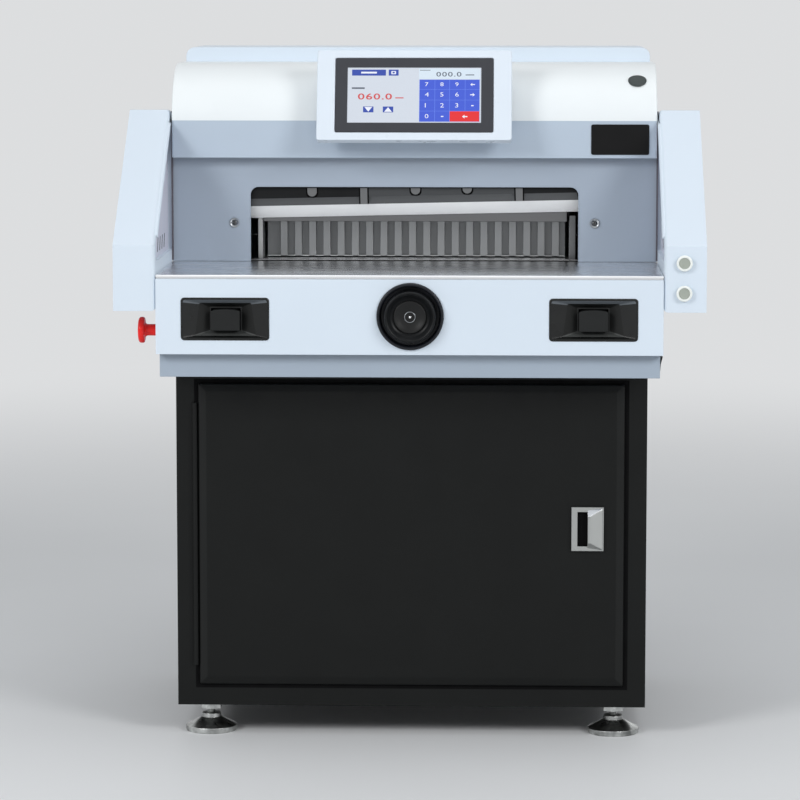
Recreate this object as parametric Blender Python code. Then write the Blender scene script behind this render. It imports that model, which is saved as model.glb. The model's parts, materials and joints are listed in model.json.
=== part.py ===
"""Electric paper cutter of the 490 mm class, on its cabinet. Metres, +Z up, floor at Z = 0."""

from math import atan2, cos, hypot, pi, radians, sin

import bmesh
import bpy
from mathutils import Matrix, Vector

# Fits between pieces
GAP = 0.0003            # between two faces that touch
RUNNING_GAP = 0.0005    # between a moving piece and what guides it
OVERRUN = 0.01          # how far a cutter reaches past a face
ROUND_SIDES = 32
FINE_SIDES = 48
CORNER_STEPS = 5

# Depths are measured back from the front face of the fascia, along +Y
WHEEL_STANDS_OUT = 0.020
REAR = 0.880

# Sizes that the rest follows
TABLE_TOP = 0.7276
TABLE_THICK = 0.014
TABLE_UNDER = TABLE_TOP - TABLE_THICK
OPENING_HALF = 0.2577
OPENING_HEIGHT = 0.1174
OPENING_TOP = TABLE_TOP + OPENING_HEIGHT
FRAME_BESIDE_OPENING = 0.0463
FRAME_INNER = OPENING_HALF + FRAME_BESIDE_OPENING
BODY_BESIDE_OPENING = 0.1243
BODY_HALF = OPENING_HALF + BODY_BESIDE_OPENING
BAND_ABOVE_OPENING = 0.047
BAND_BOTTOM = OPENING_TOP + BAND_ABOVE_OPENING
BAND_HEIGHT = 0.058
BAND_TOP = BAND_BOTTOM + BAND_HEIGHT
HOOD_CURVE_RISE = 0.0876
HOOD_TOP = BAND_TOP + HOOD_CURVE_RISE
HOOD_FRONT = 0.245
HOOD_DEPTH = 0.205
HOOD_REAR = HOOD_FRONT + HOOD_DEPTH
PANEL_BEHIND_HOOD_FRONT = 0.023
PANEL_FRONT = HOOD_FRONT + PANEL_BEHIND_HOOD_FRONT
PANEL_THICK = 0.002
GUARD_DEPTH = PANEL_FRONT + PANEL_THICK
CARRIER_BEHIND_PANEL = 0.008
CARRIER_FRONT = PANEL_FRONT + CARRIER_BEHIND_PANEL
CLAMP_BEHIND_CARRIER = 0.023
CLAMP_FRONT = CARRIER_FRONT + CLAMP_BEHIND_CARRIER
CLAMP_DEPTH = 0.035
CLAMP_REAR = CLAMP_FRONT + CLAMP_DEPTH
GAUGE_BEHIND_CLAMP = 0.026
GAUGE_FRONT = CLAMP_REAR + GAUGE_BEHIND_CLAMP

# Work table
TABLE_IN_FROM_BODY = 0.0005
TABLE_HALF = BODY_HALF - TABLE_IN_FROM_BODY
LIP_THICK = 0.0035
APRON_THICK = 0.010        # the table is thinner over the handwheel
APRON_REAR = 0.055
STICK_BEHIND_CARRIER = 0.0005
STICK_SLOT_FRONT = CARRIER_FRONT + STICK_BEHIND_CARRIER
STICK_SLOT_DEPTH = 0.040
STICK_IN_FROM_FRAME = 0.002
STICK_SLOT_HALF = FRAME_INNER - STICK_IN_FROM_FRAME
STICK_SLOT_SINK = 0.010
STICK_SINK = 0.0014
GAUGE_SLOT_HALF = 0.008
GAUGE_SLOT_BEHIND_GAUGE = 0.005
GAUGE_SLOT_FRONT = GAUGE_FRONT + GAUGE_SLOT_BEHIND_GAUGE
GAUGE_SLOT_FROM_REAR = 0.018
GAUGE_SLOT_REAR = REAR - GAUGE_SLOT_FROM_REAR

# Base under the table
SHEET = 0.003
FASCIA_THICK = 0.004
FASCIA_DROP = 0.12
FASCIA_BOTTOM = TABLE_TOP - FASCIA_DROP
TRAY_IN_FROM_BODY = 0.004
TRAY_HALF = BODY_HALF - TRAY_IN_FROM_BODY
TRAY_FRONT = 0.018
TRAY_HEIGHT = 0.0361
TRAY_BOTTOM = FASCIA_BOTTOM - TRAY_HEIGHT

# Cabinet, door and feet
CABINET_IN_FROM_BODY = 0.019
CABINET_HALF = BODY_HALF - CABINET_IN_FROM_BODY
CABINET_FRONT = 0.115
CABINET_REAR = 0.620
CABINET_BOTTOM = 0.047
CABINET_WALL = 0.0025
DOOR_IN_FROM_CABINET = 0.0345
DOOR_HALF = CABINET_HALF - DOOR_IN_FROM_CABINET
DOOR_ABOVE_CABINET_BOTTOM = 0.034
DOOR_BOTTOM = CABINET_BOTTOM + DOOR_ABOVE_CABINET_BOTTOM
DOOR_BELOW_TRAY = 0.0205
DOOR_TOP = TRAY_BOTTOM - DOOR_BELOW_TRAY
DOOR_THICK = 0.0075
DOOR_BEVEL = 0.015
DOOR_OVERLAP = 0.020
HINGE_RADIUS = 0.004
HINGE_GAP = 0.0015
HINGE_END = 0.030
HANDLE_IN_FROM_DOOR = 0.0813
HANDLE_LEFT = DOOR_HALF - HANDLE_IN_FROM_DOOR
HANDLE_WIDTH = 0.0535
HANDLE_RIGHT = HANDLE_LEFT + HANDLE_WIDTH
HANDLE_ABOVE_DOOR_BOTTOM = 0.2123
HANDLE_BOTTOM = DOOR_BOTTOM + HANDLE_ABOVE_DOOR_BOTTOM
HANDLE_HEIGHT = 0.0698
HANDLE_TOP = HANDLE_BOTTOM + HANDLE_HEIGHT
HANDLE_OUT = 0.013
HANDLE_SLOT_START = 0.0138
HANDLE_SLOT_LEFT = HANDLE_LEFT + HANDLE_SLOT_START
HANDLE_SLOT_WIDTH = 0.018
HANDLE_SLOT_RIGHT = HANDLE_SLOT_LEFT + HANDLE_SLOT_WIDTH
HANDLE_SLOT_END = 0.0085
HANDLE_FLOOR = 0.003
FOOT_IN_FROM_CABINET = 0.0485
FOOT_X = CABINET_HALF - FOOT_IN_FROM_CABINET
FOOT_INSET = 0.040
FOOT_RADIUS = 0.040
FOOT_RIM = 0.009
BOSS_RADIUS = 0.0150
BOSS_BOTTOM = 0.021
BOSS_TOP = 0.028
STEM_RADIUS = 0.006
NUT_ACROSS = 0.0346
NUT_THICK = 0.012
STEM_ABOVE = 0.016

# Side guards beside the cutting place
GUARD_WIDTH = 0.064
GUARD_OUTER = BODY_HALF + GUARD_WIDTH
GUARD_BELOW_TABLE = 0.0548
GUARD_BOTTOM = TABLE_TOP - GUARD_BELOW_TABLE
GUARD_BEND_ABOVE_TABLE = 0.0448
GUARD_BEND = TABLE_TOP + GUARD_BEND_ABOVE_TABLE
GUARD_ABOVE_TABLE = 0.2384
GUARD_TOP = TABLE_TOP + GUARD_ABOVE_TABLE
GUARD_TOP_BEHIND_HOOD_FRONT = 0.01
GUARD_TOP_DEPTH = HOOD_FRONT + GUARD_TOP_BEHIND_HOOD_FRONT
GUARD_WALL = 0.0025
GUARD_RECESS = 0.007
GUARD_RECESS_EDGE = 0.022

# Recessed panel and its cutting opening
PANEL_BEHIND_BAND = 0.038
PANEL_TOP = BAND_BOTTOM + PANEL_BEHIND_BAND
OPENING_ROUND = 0.013

# Hood and rear cover
HOOD_IN_FROM_BODY = 0.0025
HOOD_HALF = BODY_HALF - HOOD_IN_FROM_BODY
HOOD_CURVE = 0.100
CHEEK_BEHIND_GUARD = 0.0005
HOOD_CHEEK_FRONT = GUARD_DEPTH + CHEEK_BEHIND_GUARD
TUNNEL_ABOVE_OPENING = 0.025
TUNNEL_TOP = OPENING_TOP + TUNNEL_ABOVE_OPENING
REAR_COVER_IN_FROM_BODY = 0.007
REAR_COVER_HALF = BODY_HALF - REAR_COVER_IN_FROM_BODY
REAR_COVER_DEPTH = 0.17
REAR_COVER_REAR = HOOD_REAR + REAR_COVER_DEPTH
REAR_COVER_ABOVE_HOOD = 0.0229
REAR_COVER_TOP = HOOD_TOP + REAR_COVER_ABOVE_HOOD
REAR_COVER_ROUND = 0.014
TUNNEL_IN_FROM_FRAME = 0.004
TUNNEL_HALF = FRAME_INNER - TUNNEL_IN_FROM_FRAME
PLUG_IN_FROM_HOOD = 0.0307
PLUG_X = HOOD_HALF - PLUG_IN_FROM_HOOD
PLUG_BELOW_HOOD_TOP = 0.0256
PLUG_Z = HOOD_TOP - PLUG_BELOW_HOOD_TOP
PLUG_RADIUS = 0.0147
PLUG_THICK = 0.003
PLATE_IN_FROM_HOOD = 0.0124
PLATE_RIGHT = HOOD_HALF - PLATE_IN_FROM_HOOD
PLATE_WIDTH = 0.0903
PLATE_LEFT = PLATE_RIGHT - PLATE_WIDTH
PLATE_ABOVE_BAND_BOTTOM = 0.0053
PLATE_BOTTOM = BAND_BOTTOM + PLATE_ABOVE_BAND_BOTTOM
PLATE_BELOW_BAND_TOP = 0.0054
PLATE_TOP = BAND_TOP - PLATE_BELOW_BAND_TOP
PLATE_THICK = 0.0012
PLATE_ROUND = 0.003

# Touch screen on the hood
SCREEN_X = 0.0017
SCREEN_OUT_AT_BOTTOM = 0.065
SCREEN_BOTTOM_DEPTH = HOOD_FRONT - SCREEN_OUT_AT_BOTTOM
SCREEN_ABOVE_BAND_BOTTOM = 0.0305
SCREEN_BOTTOM = BAND_BOTTOM + SCREEN_ABOVE_BAND_BOTTOM
SCREEN_OUT_AT_TOP = 0.015
SCREEN_TOP_DEPTH = HOOD_FRONT - SCREEN_OUT_AT_TOP
SCREEN_RISE = 0.1376
SCREEN_TOP = SCREEN_BOTTOM + SCREEN_RISE
HOUSING_WIDTH = 0.3025
HOUSING_THICK = 0.030
HOUSING_ROUND = 0.010
BEZEL_WIDTH = 0.2445
BEZEL_HEIGHT = 0.1201
BEZEL_RISE = 0.0005
BEZEL_ROUND = 0.003
DISPLAY_WIDTH = 0.2071
DISPLAY_HEIGHT = 0.0893
DISPLAY_SINK = 0.0012
DISPLAY_THICK = 0.003
SCREEN_POCKET = 0.005
BRACKET_HALF = 0.060
BRACKET_LOW_SHARE = 0.24
BRACKET_HIGH_SHARE = 0.75

# Frame of the head
FRAME_THICK = 0.018
FRAME_BEHIND_CLAMP_FRONT = 0.001
FRAME_FRONT = CLAMP_FRONT + FRAME_BEHIND_CLAMP_FRONT
FRAME_FROM_HOOD_REAR = 0.02
FRAME_REAR = HOOD_REAR - FRAME_FROM_HOOD_REAR
FRAME_BELOW_HOOD_TOP = 0.0326
FRAME_TOP = HOOD_TOP - FRAME_BELOW_HOOD_TOP
CROSSBEAM_BELOW_FRAME_TOP = 0.048
CROSSBEAM_BOTTOM = FRAME_TOP - CROSSBEAM_BELOW_FRAME_TOP
CROSSBEAM_THICK = 0.040
CROSSBEAM_FROM_FRAME_REAR = 0.005
CROSSBEAM_REAR = FRAME_REAR - CROSSBEAM_FROM_FRAME_REAR
GUIDE_PLATE_HALF = 0.150
GUIDE_PLATE_THICK = 0.010
GUIDE_SLOT_WIDTH = 0.018

# Knife, its carrier and its drive
KNIFE_TILT = 0.02151
KNIFE_SHIFT = 0.035
PIVOT_ABOVE_OPENING = 0.075
PIVOT_Z = OPENING_TOP + PIVOT_ABOVE_OPENING
PIVOT_RADIUS = 0.008
EDGE_BELOW_PIVOT = 0.1202
KNIFE_BITE = 0.0009             # the knife's lowest place is under the table's top
KNIFE_DROP = PIVOT_Z - EDGE_BELOW_PIVOT - TABLE_TOP + KNIFE_BITE
CARRIER_THICK = 0.010
CARRIER_BESIDE_OPENING_LEFT = 0.0043
CARRIER_LEFT = OPENING_HALF + CARRIER_BESIDE_OPENING_LEFT
CARRIER_BESIDE_OPENING_RIGHT = 0.0383
CARRIER_RIGHT = OPENING_HALF + CARRIER_BESIDE_OPENING_RIGHT
CARRIER_ABOVE_PIVOT = 0.025
BLADE_THICK = 0.010
BLADE_HEIGHT = 0.075
BEVEL_HEIGHT = 0.019
CARRIER_ABOVE_EDGE = 0.0313
STUD_PITCH = 0.0815
STUD_WIDTH = 0.0147
STUD_BELOW_PIVOT = 0.0870
STUD_HEIGHT = 0.040
STUD_THICK = 0.003
STUD_PLACES_SHARE = (-2, 0, 1)
LUG_WIDTH = 0.011
LUG_BELOW_PIVOT = 0.1005
LUG_PLACES_SHARE = (-1, 2)
EAR_BESIDE_FRAME = 0.021
EAR_X = -FRAME_INNER - EAR_BESIDE_FRAME
EAR_BELOW_PIVOT = 0.008
EAR_Z = PIVOT_Z - EAR_BELOW_PIVOT
EAR_RADIUS = 0.012
EAR_PIN_RADIUS = 0.005
BLOCK_HALF = 0.040
BLOCK_HEIGHT = 0.030
BLOCK_BEHIND_CLAMP_FRONT = 0.026
BLOCK_REAR = CLAMP_FRONT + BLOCK_BEHIND_CLAMP_FRONT
ROD_THICK = 0.008
ROD_WIDTH = 0.016
ROD_SWING = 0.0144
ROD_LOWER_X = EAR_X - ROD_SWING
ROD_LOWER_BELOW_TABLE = 0.0365
ROD_LOWER_Z = TABLE_TOP - ROD_LOWER_BELOW_TABLE
ROD_EYE_RADIUS = 0.017
ROD_EYE_BORE = 0.010
LEVER_BESIDE_ROD = 0.0972
LEVER_PIVOT_X = ROD_LOWER_X + LEVER_BESIDE_ROD
LEVER_PIVOT_BELOW_TABLE = 0.0696
LEVER_PIVOT_Z = TABLE_TOP - LEVER_PIVOT_BELOW_TABLE
LEVER_ARM = 0.100
LEVER_THICK = 0.010
LEVER_WIDTH = 0.022
LEVER_HUB_RADIUS = 0.020
LEVER_PIN_RADIUS = 0.006
SHAFT_RADIUS = 0.011
ROD_HOLE_BESIDE_ROD = 0.0246
ROD_HOLE_LEFT = -ROD_LOWER_X + ROD_HOLE_BESIDE_ROD
ROD_HOLE_RIGHT = FRAME_INNER + FRAME_THICK
GEARBOX_BESIDE_LEVER_LEFT = 0.0578
GEARBOX_LEFT = -LEVER_PIVOT_X + GEARBOX_BESIDE_LEVER_LEFT
GEARBOX_BESIDE_LEVER_RIGHT = 0.0522
GEARBOX_RIGHT = -LEVER_PIVOT_X - GEARBOX_BESIDE_LEVER_RIGHT
GEARBOX_FROM_FRAME_REAR = 0.03
GEARBOX_REAR = FRAME_REAR - GEARBOX_FROM_FRAME_REAR
GEARBOX_BELOW_TABLE = 0.0116
GEARBOX_TOP = TABLE_UNDER - GEARBOX_BELOW_TABLE
MOTOR_RADIUS = 0.045
MOTOR_FLANGE_RADIUS = 0.05175
MOTOR_BESIDE_SCREW = 0.0317
MOTOR_FLANGE = 0.010
MOTOR_ABOVE_TRAY_BOTTOM = 0.0635
MOTOR_Z = TRAY_BOTTOM + MOTOR_ABOVE_TRAY_BOTTOM

# Clamp, backgauge and side guides
CLAMP_BELOW_OPENING_TOP = 0.0562
CLAMP_BOTTOM = OPENING_TOP - CLAMP_BELOW_OPENING_TOP
CLAMP_HEIGHT = 0.0362
CLAMP_TOP = CLAMP_BOTTOM + CLAMP_HEIGHT
GUIDE_PLATE_ABOVE_CLAMP = 0.003
GUIDE_PLATE_BOTTOM = CLAMP_TOP + GUIDE_PLATE_ABOVE_CLAMP
TIE_RADIUS = 0.008
TIE_ABOVE_FRAME = 0.017
TIE_TOP = FRAME_TOP + TIE_ABOVE_FRAME
GUIDE_LEFT_IN_FROM_OPENING = 0.0077
GUIDE_LEFT_OUTER = OPENING_HALF - GUIDE_LEFT_IN_FROM_OPENING
GUIDE_LEFT_WIDTH = 0.0074
GUIDE_LEFT_INNER = GUIDE_LEFT_OUTER - GUIDE_LEFT_WIDTH
CLAMP_IN_FROM_GUIDE = 0.0021
CLAMP_HALF = GUIDE_LEFT_INNER - CLAMP_IN_FROM_GUIDE
TIE_IN_FROM_CLAMP = 0.0255
TIE_X = CLAMP_HALF - TIE_IN_FROM_CLAMP
GUIDE_RIGHT_IN_FROM_OPENING = 0.0033
GUIDE_RIGHT_OUTER = OPENING_HALF - GUIDE_RIGHT_IN_FROM_OPENING
GUIDE_RIGHT_WIDTH = 0.0101
GUIDE_RIGHT_INNER = GUIDE_RIGHT_OUTER - GUIDE_RIGHT_WIDTH
GUIDE_BEHIND_CLAMP_FRONT = 0.0185
GUIDE_FRONT = CLAMP_FRONT + GUIDE_BEHIND_CLAMP_FRONT
GUIDE_HEIGHT = 0.070
GAUGE_IN_FROM_GUIDE = 0.0042
GAUGE_HALF = GUIDE_LEFT_INNER - GAUGE_IN_FROM_GUIDE
GAUGE_RIB_DEPTH = 0.012
GAUGE_BACK_THICK = 0.012
GAUGE_HEIGHT = 0.075
RIB_PITCH = 0.02286
RIB_WIDTH = 0.0112
RIBS_EACH_SIDE = int(GAUGE_HALF / RIB_PITCH)
CARRIAGE_LENGTH = 0.040
CARRIAGE_HALF = 0.020
CARRIAGE_HEIGHT = 0.030
NECK_HALF = 0.0065
NECK_BRACKET_THICK = 0.010
NECK_BRACKET_HALF = 0.030
SCREW_BELOW_TABLE = 0.0476
SCREW_Z = TABLE_TOP - SCREW_BELOW_TABLE
SCREW_RADIUS = 0.008
SCREW_BEFORE_GAUGE = 0.034
SCREW_FRONT = GAUGE_FRONT - SCREW_BEFORE_GAUGE
GAUGE_MOTOR_SIZE = 0.054
GAUGE_MOTOR_LENGTH = 0.086
GAUGE_MOTOR_FRONT = SCREW_FRONT - GAUGE_MOTOR_LENGTH
BEARING_FROM_REAR = 0.0195
BEARING_FRONT = REAR - BEARING_FROM_REAR
BEARING_HALF = 0.022

# Controls
CUP_IN_FROM_BODY = 0.1048
CUP_X = BODY_HALF - CUP_IN_FROM_BODY
CUP_ABOVE_FASCIA_BOTTOM = 0.0536
CUP_Z = FASCIA_BOTTOM + CUP_ABOVE_FASCIA_BOTTOM
CUP_WIDTH = 0.1335
CUP_HEIGHT = 0.0646
CUP_LIP = 0.0015
CUP_LIP_WIDTH = 0.003
CUP_DEPTH = 0.030
CUP_FLOOR = 0.018
CUP_FLOOR_WIDTH = 0.066
CUP_FLOOR_HEIGHT = 0.040
CUP_ROUND = 0.005
BUTTON_WIDTH = 0.0446
BUTTON_HEIGHT = 0.0330
BUTTON_BELOW_CUP = 0.0020
BUTTON_Z = CUP_Z - BUTTON_BELOW_CUP
BUTTON_FACE = 0.004
BUTTON_CROWN = 0.004
BUTTON_FLANGE = 0.003
BUTTON_FLANGE_EXTRA = 0.004
WHEEL_X = 0.0017
WHEEL_ABOVE_FASCIA_BOTTOM = 0.0582
WHEEL_Z = FASCIA_BOTTOM + WHEEL_ABOVE_FASCIA_BOTTOM
BEZEL_OUTER = 0.051
BEZEL_INNER = 0.0425
BEZEL_OUT = 0.006
BEZEL_BARREL = 0.046
BEZEL_FLOOR = 0.010
KNOB_RADIUS = 0.041
KNOB_LIP = 0.036
KNOB_DISH = 0.027
KNOB_HUB = 0.0255
KNOB_DISH_DEPTH = 0.009
KNOB_HUB_RISE = 0.004
KNOB_BACK = 0.006
SPINDLE_RADIUS = 0.005
SPINDLE_END = 0.034
ENCODER_HALF = 0.024
ENCODER_REAR = 0.038
STOP_DEPTH = 0.060
STOP_ABOVE_FASCIA_BOTTOM = 0.0311
STOP_Z = FASCIA_BOTTOM + STOP_ABOVE_FASCIA_BOTTOM
STOP_HEAD_RADIUS = 0.0200
STOP_HEAD_OUT = 0.0328
STOP_HEAD_THICK = 0.010
STOP_DOME = 0.003
STOP_COLLAR_RADIUS = 0.015
STOP_COLLAR_OUT = 0.0045
STOP_STEM_RADIUS = 0.0090
STOP_BODY_RADIUS = 0.011
STOP_BODY_IN = 0.026
PUSH_BESIDE_BODY = 0.0305
PUSH_X = BODY_HALF + PUSH_BESIDE_BODY
PUSH_UPPER_BELOW_BEND = 0.0253
PUSH_UPPER_Z = GUARD_BEND - PUSH_UPPER_BELOW_BEND
PUSH_LOWER_ABOVE_GUARD = 0.0289
PUSH_LOWER_Z = GUARD_BOTTOM + PUSH_LOWER_ABOVE_GUARD
PUSH_RADIUS = 0.0095
PUSH_HEAD_RADIUS = 0.0125
PUSH_HEAD_THICK = 0.0035
PUSH_OUT = 0.0070
PUSH_IN = 0.012
ROCKER_DEPTH = 0.060
ROCKER_ABOVE_TRAY_BOTTOM = 0.0175
ROCKER_Z = TRAY_BOTTOM + ROCKER_ABOVE_TRAY_BOTTOM
ROCKER_WIDTH = 0.014
ROCKER_HEIGHT = 0.024
ROCKER_OUT = 0.0055
ROCKER_IN = 0.006
ROCKER_WEDGE = 0.0015
ROCKER_ROOM = 0.001
CONTROL_LEFT = 0.080
CONTROL_IN_FROM_TRAY = 0.038
CONTROL_RIGHT = TRAY_HALF - CONTROL_IN_FROM_TRAY
CONTROL_FRONT = 0.080
CONTROL_REAR = 0.330
CONTROL_BELOW_TABLE = 0.0726
CONTROL_TOP = TABLE_TOP - CONTROL_BELOW_TABLE
INLET_IN_FROM_TRAY = 0.103
INLET_X = -TRAY_HALF + INLET_IN_FROM_TRAY
INLET_HALF = 0.024
INLET_HEIGHT = 0.028
INLET_ABOVE_TRAY_BOTTOM = 0.0185
INLET_Z = TRAY_BOTTOM + INLET_ABOVE_TRAY_BOTTOM
INLET_POCKET = 0.0018
INLET_WALL = 0.004

FRONT_Y = -(REAR - WHEEL_STANDS_OUT) / 2
BASE_REAR = REAR - SHEET - GAP
TIE_DEPTH = (CLAMP_FRONT + CLAMP_REAR) / 2
BLADE_FRONT = CARRIER_FRONT + CARRIER_THICK + GAP
FEET = tuple((f"foot_{row}_{hand}", side * FOOT_X, depth)
             for row, depth in (("front", CABINET_FRONT + FOOT_INSET), ("rear", CABINET_REAR - FOOT_INSET))
             for hand, side in (("left", -1), ("right", 1)))
TRAY_TOP = FASCIA_BOTTOM - GAP


# Scene and materials
for old in list(bpy.data.objects):
    bpy.data.objects.remove(old, do_unlink=True)

machine = bpy.data.objects.new("machine_origin", None)
machine.location = (0, FRONT_Y, 0)
bpy.context.scene.collection.objects.link(machine)


def make_material(name, colour, roughness, metallic):
    made = bpy.data.materials.new(name)
    made.use_nodes = True
    shader = made.node_tree.nodes["Principled BSDF"]
    shader.inputs["Base Color"].default_value = (*colour, 1)
    shader.inputs["Roughness"].default_value = roughness
    shader.inputs["Metallic"].default_value = metallic
    return made


BODY_PAINT = make_material("body_paint", (0.68, 0.76, 0.85), 0.35, 0)
WHITE_PAINT = make_material("white_paint", (0.87, 0.93, 0.95), 0.32, 0)
PANEL_PAINT = make_material("panel_paint", (0.30, 0.36, 0.44), 0.40, 0)
BLACK_PAINT = make_material("black_paint", (0.017, 0.019, 0.018), 0.50, 0)
BLACK_PLASTIC = make_material("black_plastic", (0.014, 0.016, 0.016), 0.40, 0)
TABLE_STEEL = make_material("table_steel", (0.55, 0.56, 0.58), 0.25, 1)
DARK_STEEL = make_material("dark_steel", (0.12, 0.13, 0.13), 0.45, 1)
KNIFE_STEEL = make_material("knife_steel", (0.75, 0.76, 0.77), 0.22, 1)
ZINC_STEEL = make_material("zinc_steel", (0.62, 0.63, 0.62), 0.30, 1)
GAUGE_ALUMINIUM = make_material("gauge_aluminium", (0.28, 0.28, 0.30), 0.42, 1)
CAST_GREY = make_material("cast_grey", (0.16, 0.17, 0.18), 0.60, 0.2)
SCREEN_GLASS = make_material("screen_glass", (0.60, 0.68, 0.76), 0.12, 0)
HOUSING_PLASTIC = make_material("housing_plastic", (0.83, 0.87, 0.96), 0.35, 0)
STOP_RED = make_material("stop_red", (0.45, 0.018, 0.012), 0.35, 0)
BUTTON_WHITE = make_material("button_white", (0.80, 0.82, 0.80), 0.30, 0)
STICK_PLASTIC = make_material("stick_plastic", (0.03, 0.03, 0.03), 0.55, 0)


# Shapes in a bmesh
def add_box(bm, x, y, z):
    """x, y and z are the low and high ends."""
    centre = [(low + high) / 2 for low, high in (x, y, z)]
    size = [high - low for low, high in (x, y, z)]
    bmesh.ops.create_cube(bm, size=1, matrix=Matrix.Translation(centre) @ Matrix.Diagonal((*size, 1)))


def add_prism(bm, outline, axis, start, end):
    """outline holds (y, z) for axis 0, (x, z) for axis 1 and (x, y) for axis 2."""
    corners = []
    for first, second in outline:
        point = [first, second]
        point.insert(axis, start)
        corners.append(bm.verts.new(point))
    face = bm.faces.new(corners)
    extruded = bmesh.ops.extrude_face_region(bm, geom=[face])
    moved = [item for item in extruded["geom"] if isinstance(item, bmesh.types.BMVert)]
    step = Vector((0, 0, 0))
    step[axis] = end - start
    bmesh.ops.translate(bm, verts=moved, vec=step)


def add_round(bm, profile, axis, centre, sides=ROUND_SIDES):
    """Turns a profile of (radius, place along the axis) about that axis, through centre."""
    rings = []
    others = [index for index in range(3) if index != axis]
    for radius, along in profile:
        count = sides if radius else 1
        ring = []
        for step in range(count):
            point = list(centre)
            point[axis] = along
            point[others[0]] += radius * cos(2 * pi * step / sides)
            point[others[1]] += radius * sin(2 * pi * step / sides)
            ring.append(bm.verts.new(point))
        rings.append(ring)
    for ring in (rings[0], rings[-1]):
        if len(ring) > 1:
            bm.faces.new(ring)
    for near, far in zip(rings, rings[1:]):
        for step in range(sides):
            following = (step + 1) % sides
            loop = [near[step % len(near)], near[following % len(near)]]
            loop += [far[following % len(far)], far[step % len(far)]]
            bm.faces.new(list(dict.fromkeys(loop)))


def add_rod(bm, axis, centre, radius, start, end, sides=ROUND_SIDES):
    add_round(bm, [(radius, start), (radius, end)], axis, centre, sides)


def rounded_outline(left, right, bottom, top, lower_round, upper_round):
    """A rectangle with its lower and upper corners rounded. A round of zero leaves a sharp corner."""
    corners = ((right, top, upper_round, 0), (left, top, upper_round, 1),
               (left, bottom, lower_round, 2), (right, bottom, lower_round, 3))
    points = []
    for x, z, size, quarter in corners:
        toward_x = -size if x == right else size
        toward_z = -size if z == top else size
        steps = CORNER_STEPS if size else 0
        for step in range(steps + 1):
            angle = pi / 2 * (quarter + (step / steps if steps else 0))
            points.append((x + toward_x + size * cos(angle), z + toward_z + size * sin(angle)))
    return points


# Objects
def place(bm, name, origin, parent, turn):
    bmesh.ops.recalc_face_normals(bm, faces=bm.faces[:])
    bmesh.ops.translate(bm, verts=bm.verts[:], vec=-Vector(origin))
    mesh = bpy.data.meshes.new(name)
    bm.to_mesh(mesh)
    bm.free()
    made = bpy.data.objects.new(name, mesh)
    made.parent = parent or machine
    made.location = origin
    made.rotation_euler = turn
    bpy.context.scene.collection.objects.link(made)
    return made


def make_piece(name, bm, material, origin=(0, 0, 0), parent=None, turn=(0, 0, 0), smooth=False):
    made = place(bm, name, origin, parent, turn)
    made.data.materials.append(material)
    if smooth:
        made.data.shade_smooth()
        made.data.set_sharp_from_angle(angle=radians(30))
    return made


def combine(piece, operation, bm):
    """Cuts a shape from a piece, or unites it with the piece, in the same coordinates as the piece was drawn."""
    name = piece.name + "_" + operation.lower() + str(len(piece.modifiers))
    tool = place(bm, name, piece.location[:], piece.parent, piece.rotation_euler[:])
    tool.hide_render = True
    tool.display_type = "WIRE"
    modifier = piece.modifiers.new(name, "BOOLEAN")
    modifier.operation = operation
    modifier.object = tool


def cut_box(piece, x, y, z):
    bm = bmesh.new()
    add_box(bm, x, y, z)
    combine(piece, "DIFFERENCE", bm)


def cut_prism(piece, outline, axis, start, end):
    bm = bmesh.new()
    add_prism(bm, outline, axis, start, end)
    combine(piece, "DIFFERENCE", bm)


def cut_rod(piece, axis, centre, radius, start, end, sides=ROUND_SIDES):
    bm = bmesh.new()
    add_rod(bm, axis, centre, radius, start, end, sides)
    combine(piece, "DIFFERENCE", bm)


def join_box(piece, x, y, z):
    bm = bmesh.new()
    add_box(bm, x, y, z)
    combine(piece, "UNION", bm)


def join_prism(piece, outline, axis, start, end):
    bm = bmesh.new()
    add_prism(bm, outline, axis, start, end)
    combine(piece, "UNION", bm)


def join_rod(piece, axis, centre, radius, start, end, sides=ROUND_SIDES):
    bm = bmesh.new()
    add_rod(bm, axis, centre, radius, start, end, sides)
    combine(piece, "UNION", bm)


def box_piece(name, x, y, z, material, **place_words):
    bm = bmesh.new()
    add_box(bm, x, y, z)
    return make_piece(name, bm, material, **place_words)


def prism_piece(name, outline, axis, start, end, material, **place_words):
    bm = bmesh.new()
    add_prism(bm, outline, axis, start, end)
    return make_piece(name, bm, material, **place_words)


def round_piece(name, profile, axis, centre, material, sides=ROUND_SIDES, **place_words):
    bm = bmesh.new()
    add_round(bm, profile, axis, centre, sides)
    return make_piece(name, bm, material, smooth=True, **place_words)


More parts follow.
